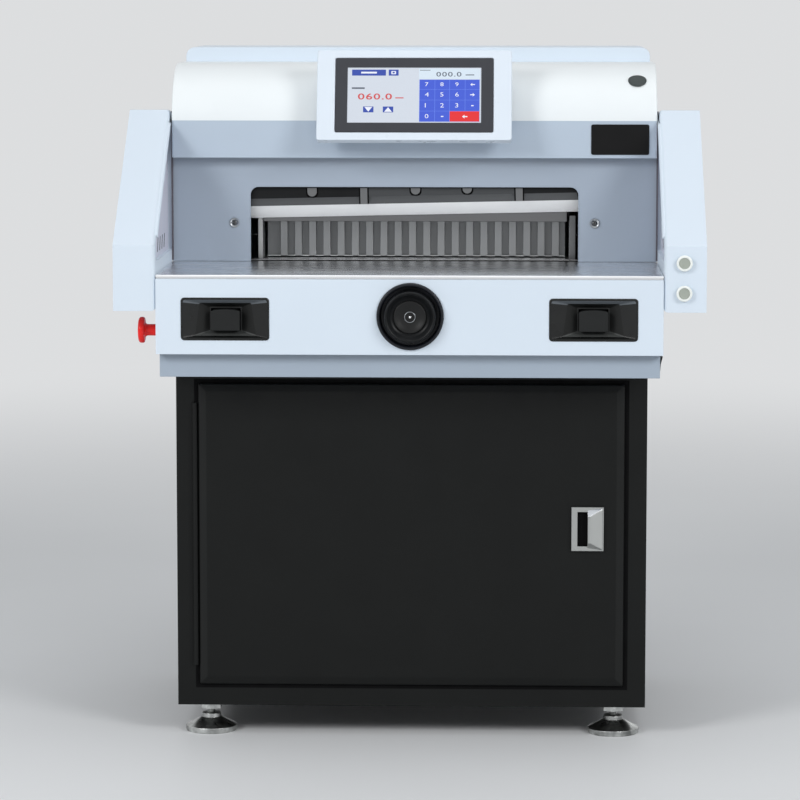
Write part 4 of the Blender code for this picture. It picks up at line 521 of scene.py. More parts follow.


# Backgauge: milled ribs with painted shade between them, over a bright foot and a black strip painted as the
# shadow in the gap under it
gauge = {"ribFace": 0.360, "ribDepth": 0.012, "gap": 0.0012, "strip": 0.0015, "edge": 0.0004,
         "footEdge": 0.0003, "inset": 0.0002, "lift": 0.0001}
bm = merged("backgauge")
gaugeFoot = min(vert.co.z for vert in bm.verts)
dropVerts(bm, gaugeFoot, -gauge["gap"])
grooveY = frontY + gauge["ribFace"] + gauge["ribDepth"] / 2
# Faces set back between the ribs take a darker steel: painted shade
for face in bm.faces:
    if face.normal.y < -0.5 and face.calc_center_median().y > grooveY:
        face.material_index = 1
left = min(vert.co.x for vert in bm.verts) + gauge["inset"]
right = max(vert.co.x for vert in bm.verts) - gauge["inset"]
dress(bm, "backgauge", [gaugeMetal, gaugeGroovePaintedShade], gauge["edge"])
footLow = gaugeFoot + gauge["gap"]
strips = {"backgauge_foot": (guideSteel, 0, footLow + gauge["lift"], footLow + gauge["strip"],
                             gauge["footEdge"]),
          "backgauge_shade": (paintedShadeBlack, gauge["inset"], gaugeFoot + gauge["lift"], footLow, 0)}
for name, (finish, setBack, low, high, edge) in strips.items():
    bm = bmesh.new()
    addBlock(bm, at(left, gauge["ribFace"] + setBack, low),
             at(right, gauge["ribFace"] + gauge["ribDepth"], high), edge)
    finishPiece(bm, name, finish, bodyOf["backgauge"], slotOf["backgauge"])
print("knife and backgauge dressed")


# Hood: a band below, a curved front above, cheeks down to the table
hood = {"half": 0.3795, "front": 0.245, "bandLow": 0.892, "bandHigh": 0.950, "top": 1.0376, "curve": 0.100,
        "rear": 0.450, "cheek": 0.2705, "foot": 0.7279, "tunnel": 0.870, "wall": 0.003, "steps": 28,
        "edge": 0.0022}
bm = bmesh.new()
rise = hood["top"] - hood["bandHigh"]
outline = [(hood["front"], hood["bandLow"])]
for step in range(hood["steps"] + 1):
    angle = math.pi / 2 * step / hood["steps"]
    outline.append((hood["front"] + hood["curve"] * (1 - math.cos(angle)),
                    hood["bandHigh"] + rise * math.sin(angle)))
outline += [(hood["rear"], hood["top"]), (hood["rear"], hood["foot"]), (hood["cheek"], hood["foot"]),
            (hood["cheek"], hood["bandLow"])]
addSlab(bm, [(frontY + depth, z) for depth, z in outline], "x", -hood["half"], hood["half"])
cutAcross(bm, (0, 0, hood["tunnel"]), "z")
openFaces = []
for face in bm.faces:
    middle = face.calc_center_median()
    depth = middle.y - frontY
    if isAt(abs(middle.x), hood["half"]):
        continue
    behindBand = depth < hood["rear"] - near and middle.z < hood["bandLow"] + near
    tunnel = depth > hood["rear"] - near and middle.z < hood["tunnel"]
    if behindBand or tunnel:
        openFaces.append(face)
    elif isAt(depth, hood["front"]) and middle.z < hood["bandHigh"]:
        face.material_index = 1
bmesh.ops.delete(bm, geom=openFaces, context="FACES")
piece = finishPiece(bm, "hood_shell", [whitePaint, bandPaint], slotName="white_paint", standsFor=("hood",))
roundEdges(piece, hood["edge"], 3)
addWall(piece, hood["wall"]).use_even_offset = True
print("hood made")


# Side guards: a bent sheet shell, with a rounded recess and its vent slots on the inner face, the slots being
# black plates painted as the shade inside them
guard = {"inner": 0.3823, "outer": 0.446, "low": 0.6728, "bend": 0.7724, "top": 0.966, "topDepth": 0.255,
         "depth": 0.270, "wall": 0.0025, "edge": 0.0022, "round": 0.0062, "recess": 0.006, "rimLow": 0.7276,
         "rim": 0.019, "rearRim": 0.0022, "arch": (0.010, 0.05, 0.085, 0.012, 0.006), "crease": 25}
vent = {"depths": (0.062, 0.095, 0.128, 0.161, 0.194), "low": 0.7545, "high": 0.7765, "lean": 0.010,
        "width": 0.0065, "out": 0.0002, "sink": 0.0012, "round": 0.003}


def guardLine(inset):
    # The guard's outline as (depth, height), moved inward
    lean = (guard["top"] - guard["bend"]) / guard["topDepth"]
    slant = math.hypot(1, lean)
    bend = guard["bend"] + inset * (1 + lean - slant)
    topDepth = inset + (guard["top"] - inset - bend) / lean
    return [(inset, guard["low"] + inset), (inset, bend), (topDepth, guard["top"] - inset),
            (guard["depth"], guard["top"] - inset), (guard["depth"], guard["low"] + inset)]


def makeGuard(name, side):
    innerX, outerX, rear = side * guard["inner"], side * guard["outer"], frontY + guard["depth"]
    bm = bmesh.new()
    addSlab(bm, [(frontY + depth, z) for depth, z in guardLine(0)], "x", innerX, outerX)

    def innerEdges():
        return [edge for edge in bm.edges if all(isAt(vert.co.x, innerX) for vert in edge.verts)]

    soft = [edge for edge in innerEdges() if any(vert.co.y < rear - near for vert in edge.verts)]
    bevelEdges(bm, soft, guard["round"], 6)
    middles = [(face, face.calc_center_median()) for face in bm.faces]
    openFaces = [face for face, middle in middles if isAt(middle.y, rear) or isAt(middle.x, innerX)]
    bmesh.ops.delete(bm, geom=openFaces, context="FACES_ONLY")
    rimEdges = innerEdges()

    line = guardLine(guard["rim"])
    recessRear = guard["depth"] - guard["rearRim"]
    lowest = guard["rimLow"] + guard["rim"]
    line = [(guard["rim"], lowest), line[1], line[2], (recessRear, line[3][1]), (recessRear, lowest)]
    recess = softLine([(frontY + depth, z) for depth, z in line], guard["arch"], 7, closed=True)
    loopEdges = ringEdges(bm, [(innerX, point.x, point.y) for point in recess])
    bmesh.ops.triangle_fill(bm, use_beauty=True, edges=rimEdges + loopEdges)
    for face in sinkRing(bm, loopEdges, (side * guard["recess"], 0, 0))[1]:
        face.material_index = 1
    joinFlat(bm)
    bmesh.ops.recalc_face_normals(bm, faces=bm.faces)
    outward = [face for face in bm.faces if isAt(face.calc_center_median().x, outerX)][0]
    if outward.normal.x * side < 0:
        bmesh.ops.reverse_faces(bm, faces=bm.faces)
    crease = guard["crease"]
    piece = placePiece(bm, name + "_shell", [bodyPaint, linerPaint], standsFor=(name,), crease=crease)
    roundEdges(piece, guard["edge"], 3, crease)
    addWall(piece, guard["wall"])

    # Vent slots: black plates on the recess floor, painted shade standing for open slots
    bm = bmesh.new()
    face = side * (guard["inner"] + guard["recess"])
    for depth in vent["depths"]:
        start, end = frontY + depth, frontY + depth + vent["width"]
        line = [(start, vent["low"]), (end, vent["low"]), (end + vent["lean"], vent["high"]),
                (start + vent["lean"], vent["high"])]
        addSlab(bm, softLine(line, vent["round"], 3, closed=True), "x", face - side * vent["out"],
                face + side * vent["sink"])
    finishPiece(bm, name + "_vent_slots", paintedShadeBlack, slotName="black_plastic")


# Dark strips filling the gaps between the hood's cheeks and the guards: painted shadow
paintedGapShadow = {"near": 0.3797, "far": 0.3821, "depths": (0.262, 0.268), "low": 0.730, "high": 0.964}
for end, side in sides.items():
    makeGuard("guard_" + end, side)
for end, side in sides.items():
    bm = bmesh.new()
    addBlock(bm, at(side * paintedGapShadow["near"], paintedGapShadow["depths"][0], paintedGapShadow["low"]),
             at(side * paintedGapShadow["far"], paintedGapShadow["depths"][1], paintedGapShadow["high"]))
    finishPiece(bm, "guard_gap_" + end, gapShade, slotName="black_plastic")
print("guards made")


# Recess screws in dished cups, and the lip round the opening; profiles hold (radius, depth) points
recessScrew = {"x": 0.2835, "z": 0.7885, "face": 0.268, "round": 0.0003,
               "cup": [(0.0042, -0.0006), (0.00624, -0.0019), (0.007176, -0.0021), (0.0078, -0.0014),
                       (0.0078, -0.0002), (0.0042, -0.0002)],
               "head": [(0, -0.0006), (0.0018, -0.0006), (0.0018, -0.0017), (0.00231, -0.0019),
                        (0.004116, -0.0008), (0.004116, -0.0003), (0, -0.0003)]}
screwY = at(0, recessScrew["face"], 0).y
washer, head = ([(radius, screwY + depth) for radius, depth in recessScrew[part]] for part in ("cup", "head"))
for end, side in sides.items():
    centre = (side * recessScrew["x"], 0, recessScrew["z"])
    turned(f"recess_screw_{end}_cup", washer, centre, "y", cupSteel, 40, recessScrew["round"], loop=True,
           slotName="zinc_steel")
    turned(f"recess_screw_{end}", head, centre, "y", screwSteel, 24, recessScrew["round"],
           slotName="zinc_steel")
lip = {"half": 0.2577, "top": 0.845, "round": 0.013, "face": 0.268, "from": -0.0006, "to": -0.0001,
       "width": 0.0012, "foot": 0.7281, "edge": 0.0002, "shade": 0.0016, "shadeFrom": 0.0002,
       "shadeTo": 0.0010}
half, top, foot, lipY = lip["half"], lip["top"], lip["foot"], frontY + lip["face"]
inner = softLine([(-half, foot), (-half, top), (half, top), (half, foot)], lip["round"], 6)
grow = lip["width"] / half
outer = [(x * (1 + grow), z + lip["width"] * (z - foot) / (top - foot)) for x, z in inner]
bm = bmesh.new()
addSlab(bm, inner + outer[::-1], "y", lipY + lip["from"], lipY + lip["to"])
roundEdges(finishPiece(bm, "opening_lip", panelPaint), lip["edge"])
# A black strip just under the opening's top edge: painted shadow
upper = [(x, z) for x, z in inner if z > top - lip["round"] - near]
lower = [(x * (1 - grow), z - lip["shade"]) for x, z in upper]
bm = bmesh.new()
addSlab(bm, upper + lower[::-1], "y", lipY + lip["shadeFrom"], lipY + lip["shadeTo"])
finishPiece(bm, "opening_shade", paintedShadeBlack, slotName="black_plastic")
print("recess dressed")


# Hood plug; its profile holds shares of the radius and of the thickness
plug = {"radius": 0.0144, "thick": 0.0028, "flat": 0.76, "round": 0.0006,
        "profile": ((0, -0.75), (0.72, -0.8), (0.86, -1), (1, -0.55), (1, 0), (0, 0))}
low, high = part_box("hood_plug")
middle = (low + high) / 2
shareUp = (middle.z - hood["bandHigh"]) / rise
lean = math.atan2(shareUp / rise, math.sqrt(1 - shareUp ** 2) / hood["curve"])
profile = [(plug["radius"] * wide, plug["thick"] * out) for wide, out in plug["profile"]]
bm = bmesh.new()
addTurned(bm, softLine(profile, plug["round"]), (0, 0, 0), "y")
for vert in bm.verts:
    if vert.co.z > 0:
        vert.co.z *= plug["flat"]
matrix = Matrix.Translation(middle) @ Matrix.Rotation(-lean, 4, "X")
bmesh.ops.transform(bm, matrix=matrix @ Matrix.Translation((0, plug["thick"] / 2, 0)), verts=bm.verts)
finishPiece(bm, "hood_plug_cap", plugMoulding, slotName="black_plastic", standsFor=("hood_plug",))
print("hood trim made")


# Touch screen: everything is drawn in the screen's own plane, then leaned back
screen = {"x": 0.0017, "low": (0.180, 0.9225), "high": (0.230, 1.0601), "width": 0.3025, "thick": 0.030,
          "round": 0.005, "edge": 0.0022, "taper": 0.0045, "bezel": (0.2445, 0.1201), "bezelRound": 0.003,
          "bezelOut": 0.0005, "pocketGap": 0.0006, "pocket": 0.004, "frameGap": 0.0005, "frameRound": 0.0004,
          "frameDepth": 0.0038, "display": (0.2071, 0.0893), "sink": 0.0007, "ground": 0.003,
          "film": 0.00015, "filmThick": 0.000135, "merge": 0.0000005}
slope = Vector(screen["high"]) - Vector(screen["low"])
screenPlane = (Matrix.Translation(at(screen["x"], *(Vector(screen["low"]) + slope / 2)))
               @ Matrix.Rotation(-math.atan2(*slope), 4, "X"))


def screenPiece(bm, name, finish, slotName, standsFor=()):
    bmesh.ops.transform(bm, matrix=screenPlane, verts=bm.verts)
    return finishPiece(bm, name, finish, slotName=slotName, standsFor=standsFor, merge=screen["merge"])


def uprightRing(bm, outline, y=0.0):
    return ringEdges(bm, [(x, y, z) for x, z in outline])


def ringSlab(bm, outer, inner, start, end):
    # A flat frame between two outlines of as many points, extruded along y
    edges = uprightRing(bm, outer, start) + uprightRing(bm, inner, start)
    pushFaces(bm, bmesh.ops.bridge_loops(bm, edges=edges)["faces"], (0, end - start, 0))


width, height = screen["bezel"]
wide, high = screen["display"]
bm = bmesh.new()
outerEdges = uprightRing(bm, roundedBox(screen["width"], slope.length, screen["round"], 6))
innerEdges = uprightRing(bm, roundedBox(width + screen["pocketGap"], height + screen["pocketGap"],
                                        screen["bezelRound"], 6))
bmesh.ops.bridge_loops(bm, edges=outerEdges + innerEdges)
sinkRing(bm, innerEdges, (0, screen["pocket"], 0))
back = sinkRing(bm, outerEdges, (0, screen["thick"], 0))[0]
bmesh.ops.translate(bm, verts=[vert for vert in back if vert.co.z < 0], vec=(0, 0, screen["taper"]))
roundEdges(screenPiece(bm, "screen_housing_shell", housingMoulding, "housing_plastic", ("screen_housing",)),
           screen["edge"], 4)
bm = bmesh.new()
ringSlab(bm, roundedBox(width, height, screen["bezelRound"]),
         roundedBox(wide + screen["frameGap"], high + screen["frameGap"], screen["frameRound"]),
         -screen["bezelOut"], screen["frameDepth"])
roundEdges(screenPiece(bm, "screen_frame", bezelMoulding, "black_plastic", ("screen_bezel",)),
           screen["frameRound"])
bm = bmesh.new()
addBlock(bm, (-wide / 2, screen["sink"], -high / 2), (wide / 2, screen["sink"] + screen["ground"], high / 2))
screenPiece(bm, "display_ground", displayPale, "screen_glass", ("touch_screen",))


# Films on the display; their sides are shares of its width and height
films = {}


def filmLayer(finish, layer):
    # The bmesh of a finish's film on a layer, and its face's depth
    key = (finish.name, layer)
    if key not in films:
        films[key] = (bmesh.new(), finish)
    return films[key][0], screen["sink"] - screen["film"] * layer


def onDisplay(x, z):
    return Vector(((x - 0.5) * screen["display"][0], (z - 0.5) * screen["display"][1]))


def shape(finish, corners, layer, corner=0.0):
    bm, face = filmLayer(finish, layer)
    line = softLine([onDisplay(*place) for place in corners], corner, 3, closed=True)
    addSlab(bm, line, "y", face, face + screen["filmThick"])


def film(finish, left, right, low, high, layer=1, corner=0.0):
    shape(finish, boxOutline(left, right, low, high), layer, corner)


def figures(text, finish, left, low, tall, widen, layer=2, bold=0.0, spacing=1.0):
    # Figures on the display, drawn with the built-in font and made a mesh
    curve = bpy.data.curves.new("figures", "FONT")
    curve.body = text
    curve.size = 1
    curve.offset = bold
    curve.space_character = spacing
    curve.resolution_u = 3
    maker = bpy.data.objects.new("figures", curve)
    bpy.context.scene.collection.objects.link(maker)
    bpy.context.view_layer.update()
    mesh = bpy.data.meshes.new_from_object(maker.evaluated_get(bpy.context.evaluated_depsgraph_get()))
    bm = bmesh.new()
    bm.from_mesh(mesh)
    bmesh.ops.remove_doubles(bm, verts=bm.verts, dist=0.0001)
    firstX, firstY = min(vert.co.x for vert in bm.verts), min(vert.co.y for vert in bm.verts)
    size = tall * screen["display"][1] / (max(vert.co.y for vert in bm.verts) - firstY)
    start = onDisplay(left, low)
    target, face = filmLayer(finish, layer)
    for vert in bm.verts:
        vert.co = (start.x + (vert.co.x - firstX) * size * widen, face, start.y + (vert.co.y - firstY) * size)
    pushFaces(bm, bm.faces[:], (0, screen["filmThick"], 0))
    bm.to_mesh(mesh)
    bm.free()
    target.from_mesh(mesh)
    bpy.data.objects.remove(maker)
    bpy.data.meshes.remove(mesh)


pad = {"left": 0.538, "right": 0.989, "low": 0.017, "high": 0.783, "columns": (0, 0.257, 0.502, 0.759, 1),
       "rows": (0, 0.252, 0.514, 0.767, 1), "line": 0.0035, "figure": (0.36, 1, 0.32, 0.72), "widen": 1.35,
       "dash": (0.42, 0.60, 0.44, 0.54), "arrow": (0.34, 0.68, 0.33, 0.66), "enter": (0.42, 0.60, 0.30, 0.66),
       "neck": 0.45, "thin": 0.14}
keys = {"7": (0, 3), "8": (1, 3), "9": (2, 3), "4": (0, 2), "5": (1, 2), "6": (2, 2), "1": (0, 1),
        "2": (1, 1), "3": (2, 1), "0": (0, 0)}


def onKey(column, row, columns=1, part=(0, 1, 0, 1)):
    # The left, right, low and high sides of a key or of a part of it
    wide, tall = pad["right"] - pad["left"], pad["high"] - pad["low"]
    left = pad["left"] + wide * pad["columns"][column] + pad["line"] / 2
    right = pad["left"] + wide * pad["columns"][column + columns] - pad["line"] / 2
    low = pad["low"] + tall * pad["rows"][row] + pad["line"]
    high = pad["low"] + tall * pad["rows"][row + 1] - pad["line"]
    return ([left + (right - left) * share for share in part[:2]]
            + [low + (high - low) * share for share in part[2:]])


def arrow(left, right, low, high, toward):
    # A plain arrow, pointing toward -1 or 1 along the display's width
    tip, tail = (right, left) if toward > 0 else (left, right)
    neck = tip + (tail - tip) * pad["neck"]
    middle, thin = (low + high) / 2, (high - low) * pad["thin"]
    shape(displayWhite, [(tip, middle), (neck, high), (neck, middle + thin), (tail, middle + thin),
                         (tail, middle - thin), (neck, middle - thin), (neck, low)], 3)


film(displayLight, 0.534, 0.994, 0.795, 0.985)
film(displayLine, pad["left"], pad["right"], pad["low"], pad["high"])
for column in range(4):
    for row in range(4):
        if row > 0 or column < 2:
            film(displayBlue, *onKey(column, row), 2)
film(displayRed, *onKey(2, 0, 2), 2)
for text, (column, row) in keys.items():
    left, right, low, high = onKey(column, row, 1, pad["figure"])
    figures(text, displayWhite, left, low, high - low, pad["widen"], 3)
for column, row in ((3, 1), (1, 0)):
    film(displayWhite, *onKey(column, row, 1, pad["dash"]), 3)
arrow(*onKey(3, 3, 1, pad["arrow"]), -1)
arrow(*onKey(3, 2, 1, pad["arrow"]), 1)
arrow(*onKey(2, 0, 2, pad["enter"]), -1)
figures("000.0", displayGrey, 0.664, 0.838, 0.085, 1.50, bold=0.008, spacing=1.14)
for row in (
        (displayGrey, 0.883, 0.948, 0.860, 0.876, 2), (displayGrey, 0.541, 0.620, 0.948, 0.958, 2),
        (displayDeep, 0.032, 0.286, 0.855, 0.964, 1, 0.0006),
        (displayDeep, 0.307, 0.381, 0.855, 0.964, 1, 0.0006),
        (displayWhite, 0.100, 0.218, 0.893, 0.925, 2), (displayWhite, 0.326, 0.362, 0.880, 0.938, 2, 0.0012),
        (displayDeep, 0.336, 0.352, 0.895, 0.923, 3), (displayGrey, 0.032, 0.128, 0.612, 0.640, 2),
        (displayDigit, 0.358, 0.420, 0.440, 0.458, 2)):
    film(*row)
figures("060.0", displayDigit, 0.078, 0.418, 0.112, 1.62, bold=0.012, spacing=1.10)
stepKey = {"width": 0.078, "inset": 0.010, "low": 0.186, "high": 0.292}
for left, base, tip in ((0.118, 0.282, 0.198), (0.266, 0.196, 0.280)):
    right = left + stepKey["width"]
    film(displayDeep, left, right, stepKey["low"], stepKey["high"])
    shape(displayWhite, [(left + stepKey["inset"], base), (right - stepKey["inset"], base),
                         ((left + right) / 2, tip)], 2)
for (name, layer), (bm, finish) in films.items():
    screenPiece(bm, f"{name}_{layer}", finish, "screen_glass")
print("screen made")


# Levelling feet: a disc with a cone and a boss, a stem and its lock nut, as (radius, height) points; their
# zinc is blotched light and dark as painted reflections
foot = {"places": {"foot_front_left": (-0.3145, 0.155), "foot_front_right": (0.3145, 0.155),
                   "foot_rear_left": (-0.3145, 0.580), "foot_rear_right": (0.3145, 0.580)},
        "disc": ((0, 0.0004), (0.0388, 0), (0.0400, 0.0010), (0.0400, 0.0080), (0.0391, 0.0088),
                 (0.0160, 0.0205), (0.0148, 0.0211), (0.0148, 0.0275), (0, 0.0275)),
        "soft": (0, 0, 0.0004, 0.0004, 0.0004, 0.0006, 0.0004, 0.0012, 0), "stemLow": 0.0275,
        "stem": 0.0058, "root": 0.88, "rootUp": 0.0001, "tip": 0.8, "top": 0.063, "pitch": 0.0015,
        "nut": 0.0173, "nutLow": 0.0347, "nutHigh": 0.0467, "nutCut": 0.0008, "nutEdge": 0.0004}
thread = [(0, foot["stemLow"])]
for step in range(int((foot["top"] - foot["stemLow"]) / foot["pitch"])):
    low = foot["stemLow"] + step * foot["pitch"]
    thread += [(foot["stem"] * foot["root"], low + foot["rootUp"]), (foot["stem"], low + foot["pitch"] / 2)]
thread += [(foot["stem"] * foot["tip"], foot["top"]), (0, foot["top"])]
for name, (x, depth) in foot["places"].items():
    turned(name + "_disc", foot["disc"], at(x, depth, 0), "z", footZincPaintedReflections, 72, foot["soft"],
           slotName="zinc_steel", standsFor=(name,))
    turned(name + "_stem", thread, at(x, depth, 0), "z", footZincPaintedReflections, 24, slotName="zinc_steel")
    bm = bmesh.new()
    matrix = Matrix.Translation(at(x, depth, (foot["nutHigh"] + foot["nutLow"]) / 2))
    bmesh.ops.create_cone(bm, cap_ends=True, segments=6, radius1=foot["nut"], radius2=foot["nut"],
                          depth=foot["nutHigh"] - foot["nutLow"], matrix=matrix)
    bmesh.ops.bevel(bm, geom=bm.verts[:], offset=foot["nutCut"], segments=1, profile=0.5, affect="VERTICES",
                    material=-1)
    nut = finishPiece(bm, name + "_nut", footZincPaintedReflections, slotName="zinc_steel", crease=20)
    roundEdges(nut, foot["nutEdge"], 2, 25)
print("feet made")


# Cabinet door: a pressed panel with a wide sloped border whose side slopes are painted lighter as painted
# light, a black ring round it as painted shadow, and its pull
door = {"half": 0.3285, "low": 0.081, "high": 0.551, "back": 0.1147, "front": 0.1072, "rim": 0.0048,
        "slope": 0.0172, "edge": 0.0022, "shadowFrom": -0.0005, "shadowTo": 0.0067, "shadowBehind": 0.0001,
        "shadowThick": 0.0006}
doorWords = {"body": "door_body", "slotName": "zinc_steel"}


def doorOutline(spare):
    return boxOutline(-door["half"] - spare, door["half"] + spare, door["low"] - spare, door["high"] + spare)


def frontFace(bm):
    return min(bm.faces, key=lambda face: face.calc_center_median().y)


doorY = frontY + door["back"]
bm = bmesh.new()
addSlab(bm, doorOutline(0), "y", doorY, doorY - door["rim"])
front = frontFace(bm)
bmesh.ops.inset_region(bm, faces=[front], thickness=door["slope"], depth=0)
bmesh.ops.translate(bm, verts=front.verts[:], vec=(0, door["front"] - door["back"] + door["rim"], 0))
bm.normal_update()
# The side slopes take a lighter black: painted light
for face in bm.faces:
    if 0.03 < abs(face.normal.x) < 0.9:
        face.material_index = 1
roundEdges(finishPiece(bm, "door_panel", [blackPaint, doorSlopePaintedLight], "door_body", "black_paint", ("door",),
                       crease=10), door["edge"], 4, 8)
# A thin black ring on the cabinet round the door: painted shadow of its edge
bm = bmesh.new()
start = doorY + door["shadowBehind"]
ringSlab(bm, doorOutline(door["shadowTo"]), doorOutline(door["shadowFrom"]), start, start + door["shadowThick"])
finishPiece(bm, "door_gap", paintedShadeBlack, slotName="black_paint")

# The pull: a plate with a finger slot, and a hipped wedge beside the slot
pull = {"left": 0.2472, "low": 0.2940, "width": 0.0497, "height": 0.0684, "back": 0.1069, "plate": 0.0052,
        "slot": (0.0094, 0.0246, 0.0076, 0.0608), "slotDepth": 0.0046, "edge": 0.0009}
wedge = {"left": 0.0247, "right": 0.0478, "foot": 0.0045, "end": 0.0014,
         "ridge": ((0.0250, 0.0122), (0.0290, 0.0128)), "hip": 0.0135, "strip": 0.0018, "edge": 0.0007}


def pullPoint(x, z, out):
    return at(pull["left"] + x, pull["back"] - out, pull["low"] + z)


bm = bmesh.new()
addBlock(bm, pullPoint(0, 0, pull["plate"]), pullPoint(pull["width"], pull["height"], 0))
front = frontFace(bm)
outerEdges = list(front.edges)
bmesh.ops.delete(bm, geom=[front], context="FACES_ONLY")
slotEdges = ringEdges(bm, [pullPoint(x, z, pull["plate"]) for x, z in boxOutline(*pull["slot"])])
bmesh.ops.triangle_fill(bm, use_beauty=True, edges=outerEdges + slotEdges)
floorFaces, walls = sinkRing(bm, slotEdges, (0, pull["slotDepth"], 0))[1:]
# The finger slot's floor and walls are black: painted shade
for face in floorFaces + walls:
    face.material_index = 1
joinFlat(bm)
roundEdges(finishPiece(bm, "door_pull_plate", [pullMetal, paintedShadeBlack], standsFor=("door_handle",), crease=20,
                       **doorWords), pull["edge"], 3, 30)
bm = bmesh.new()
outFoot, outStrip = wedge["foot"], wedge["foot"] + wedge["strip"]
lines = [(wedge["left"], wedge["end"] * 3, outFoot), (wedge["right"], wedge["end"], outFoot),
         (wedge["right"], wedge["end"] * 2, outStrip)]
for x, inset, out in lines + [(x, wedge["hip"], out) for x, out in wedge["ridge"]]:
    for z in (inset, pull["height"] - inset):
        bm.verts.new(pullPoint(x, z, out))
bmesh.ops.convex_hull(bm, input=bm.verts[:])
bmesh.ops.dissolve_limit(bm, angle_limit=math.radians(1), verts=bm.verts, edges=bm.edges)
bmesh.ops.recalc_face_normals(bm, faces=bm.faces)
# Facets facing up take the brighter steel: painted highlight
for face in bm.faces:
    if face.normal.z > 0.3:
        face.material_index = 1
roundEdges(finishPiece(bm, "door_pull_wedge", [pullMetal, highlightSteel], crease=12, **doorWords),
           wedge["edge"], 3, 12)
print("door made")


# Cut buttons in their two-stage cups
cup = {"x": 0.2772, "z": 0.6612, "width": 0.1335, "height": 0.0646, "corner": 0.006, "face": -0.0003,
       "side": -0.000825, "lip": -0.0015, "lipShrink": 0.0016, "body": 0.0080, "bodyCorner": 0.003,
       "mouth": (0.1265, 0.0580, 0.0040), "shelf": (0.046, 0.039, -0.0262, 0.0236), "shelfCorner": 0.0020,
       "shelfDepth": 0.0085, "floor": (0.0243, 0.0243, -0.0196, 0.0172), "floorCorner": 0.0012,
       "floorDepth": 0.0178, "holeCorner": 0.001, "back": 0.0296, "edge": 0.0007}
button = {"width": 0.0438, "height": 0.0326, "drop": -0.0020, "front": 0.0040, "back": 0.030, "crown": 0.0040,
          "steps": 16, "round": 0.0024, "gap": 0.0012}


def cupBox(shrink, corner):
    return roundedBox(cup["width"] - shrink, cup["height"] - shrink, corner)


def cupStep(size, corner):
    lowHalf, highHalf, low, high = size
    line = [(-lowHalf, low), (lowHalf, low), (highHalf, high), (-highHalf, high)]
    return softLine(line, corner, 5, closed=True)


body, rim = cupBox(cup["body"], cup["bodyCorner"]), cupBox(0, cup["corner"])
hole = [(x, z + button["drop"]) for x, z in roundedBox(button["width"] + button["gap"],
                                                       button["height"] + button["gap"], cup["holeCorner"])]
stages = [(body, "back"), (body, "face"), (rim, "face"), (rim, "side"),
          (cupBox(cup["lipShrink"], cup["corner"]), "lip"), (roundedBox(*cup["mouth"]), "lip"),
          (cupStep(cup["shelf"], cup["shelfCorner"]), "shelfDepth"),
          (cupStep(cup["floor"], cup["floorCorner"]), "floorDepth"), (hole, "floorDepth"), (hole, "back")]
halfWide, halfHigh = button["width"] / 2, button["height"] / 2
crown = [(-halfWide, -halfHigh), (halfWide, -halfHigh)]
for step in range(button["steps"] + 1):
    angle = math.pi * step / button["steps"]
    crown.append((halfWide * math.cos(angle), halfHigh - button["crown"] * (1 - math.sin(angle))))
for hand, side in sides.items():
    centre = side * cup["x"]
    bm = bmesh.new()
    rings = [[bm.verts.new(at(centre + x, cup[depth], cup["z"] + z)) for x, z in outline]
             for outline, depth in stages]
    for ring, following in zip(rings, rings[1:] + rings[:1]):
        for corners in zip(ring, ring[1:] + ring[:1], following[1:] + following[:1], following):
            face = bm.faces.new(corners)
            z = face.calc_center_median().z - cup["z"]
            if ring is rings[5] and z > cup["shelf"][3]:  # the slope above the shelf, painted lighter as a painted reflection of the floor
                face.material_index = 1
            elif ring is rings[6]:  # the slopes from the shelf down to the floor: the lowest lighter as painted light, the others in the cup's painted shade tone
                face.material_index = 2 if z < cup["floor"][2] else 3
    shell = finishPiece(bm, f"cup_{hand}_shell", [cupMoulding, cupPaintedReflection, cupPaintedLight, cupShade],
                        slotName="black_plastic", standsFor=(f"cup_{hand}",), crease=14)
    roundEdges(shell, cup["edge"], 3, 12)
    bm = bmesh.new()
    middle = cup["z"] + button["drop"]
    addSlab(bm, [(centre + x, middle + z) for x, z in crown], "y", frontY + button["front"],
            frontY + button["back"])
    cap = finishPiece(bm, f"cut_button_{hand}_cap", blackMoulding, f"cut_button_{hand}_body", "black_plastic",
                      (f"cut_button_{hand}",), crease=28)
    roundEdges(cap, button["round"], 4, 30)
print("cut buttons made")


# Handwheel: a bezel on the fascia, and a dished knob with its screw, as (radius, depth) points
wheelCentre = at(0.0017, 0, 0.6658)
wheelWords = {"body": "handwheel_body", "slotName": "black_plastic"}
screwWords = {"body": "handwheel_body", "slotName": "zinc_steel"}
turned("handwheel_bezel_ring", (
    (0.0446, 0.0096), (0.0446, -0.0034), (0.0464, -0.0054), (0.0488, -0.0056), (0.0505, -0.0036),
    (0.0510, -0.0003), (0.0459, -0.0003), (0.0459, 0.0128), (0.0056, 0.0128), (0.0056, 0.0100)),
    wheelCentre, "y", bezelFinish, 96, 0.0010, True, slotName="black_plastic", standsFor=("handwheel_bezel",))
turned("handwheel_knob", (
    (0, 0.0335), (0.0048, 0.0335), (0.0048, 0.0058), (0.0384, 0.0058), (0.0390, 0.0040), (0.0390, -0.0125),
    (0.0384, -0.0182), (0.0368, -0.0198), (0.0350, -0.0192), (0.0296, -0.0128), (0.0266, -0.0112),
    (0.0253, -0.0112), (0.0253, -0.0080), (0, -0.0080)), wheelCentre, "y", wheelMoulding, 96,
    (0, 0, 0, 0.001, 0.002, 0.006, 0.003, 0.002, 0.003, 0.004, 0.002, 0.0004, 0, 0),
    standsFor=("handwheel",), **wheelWords)
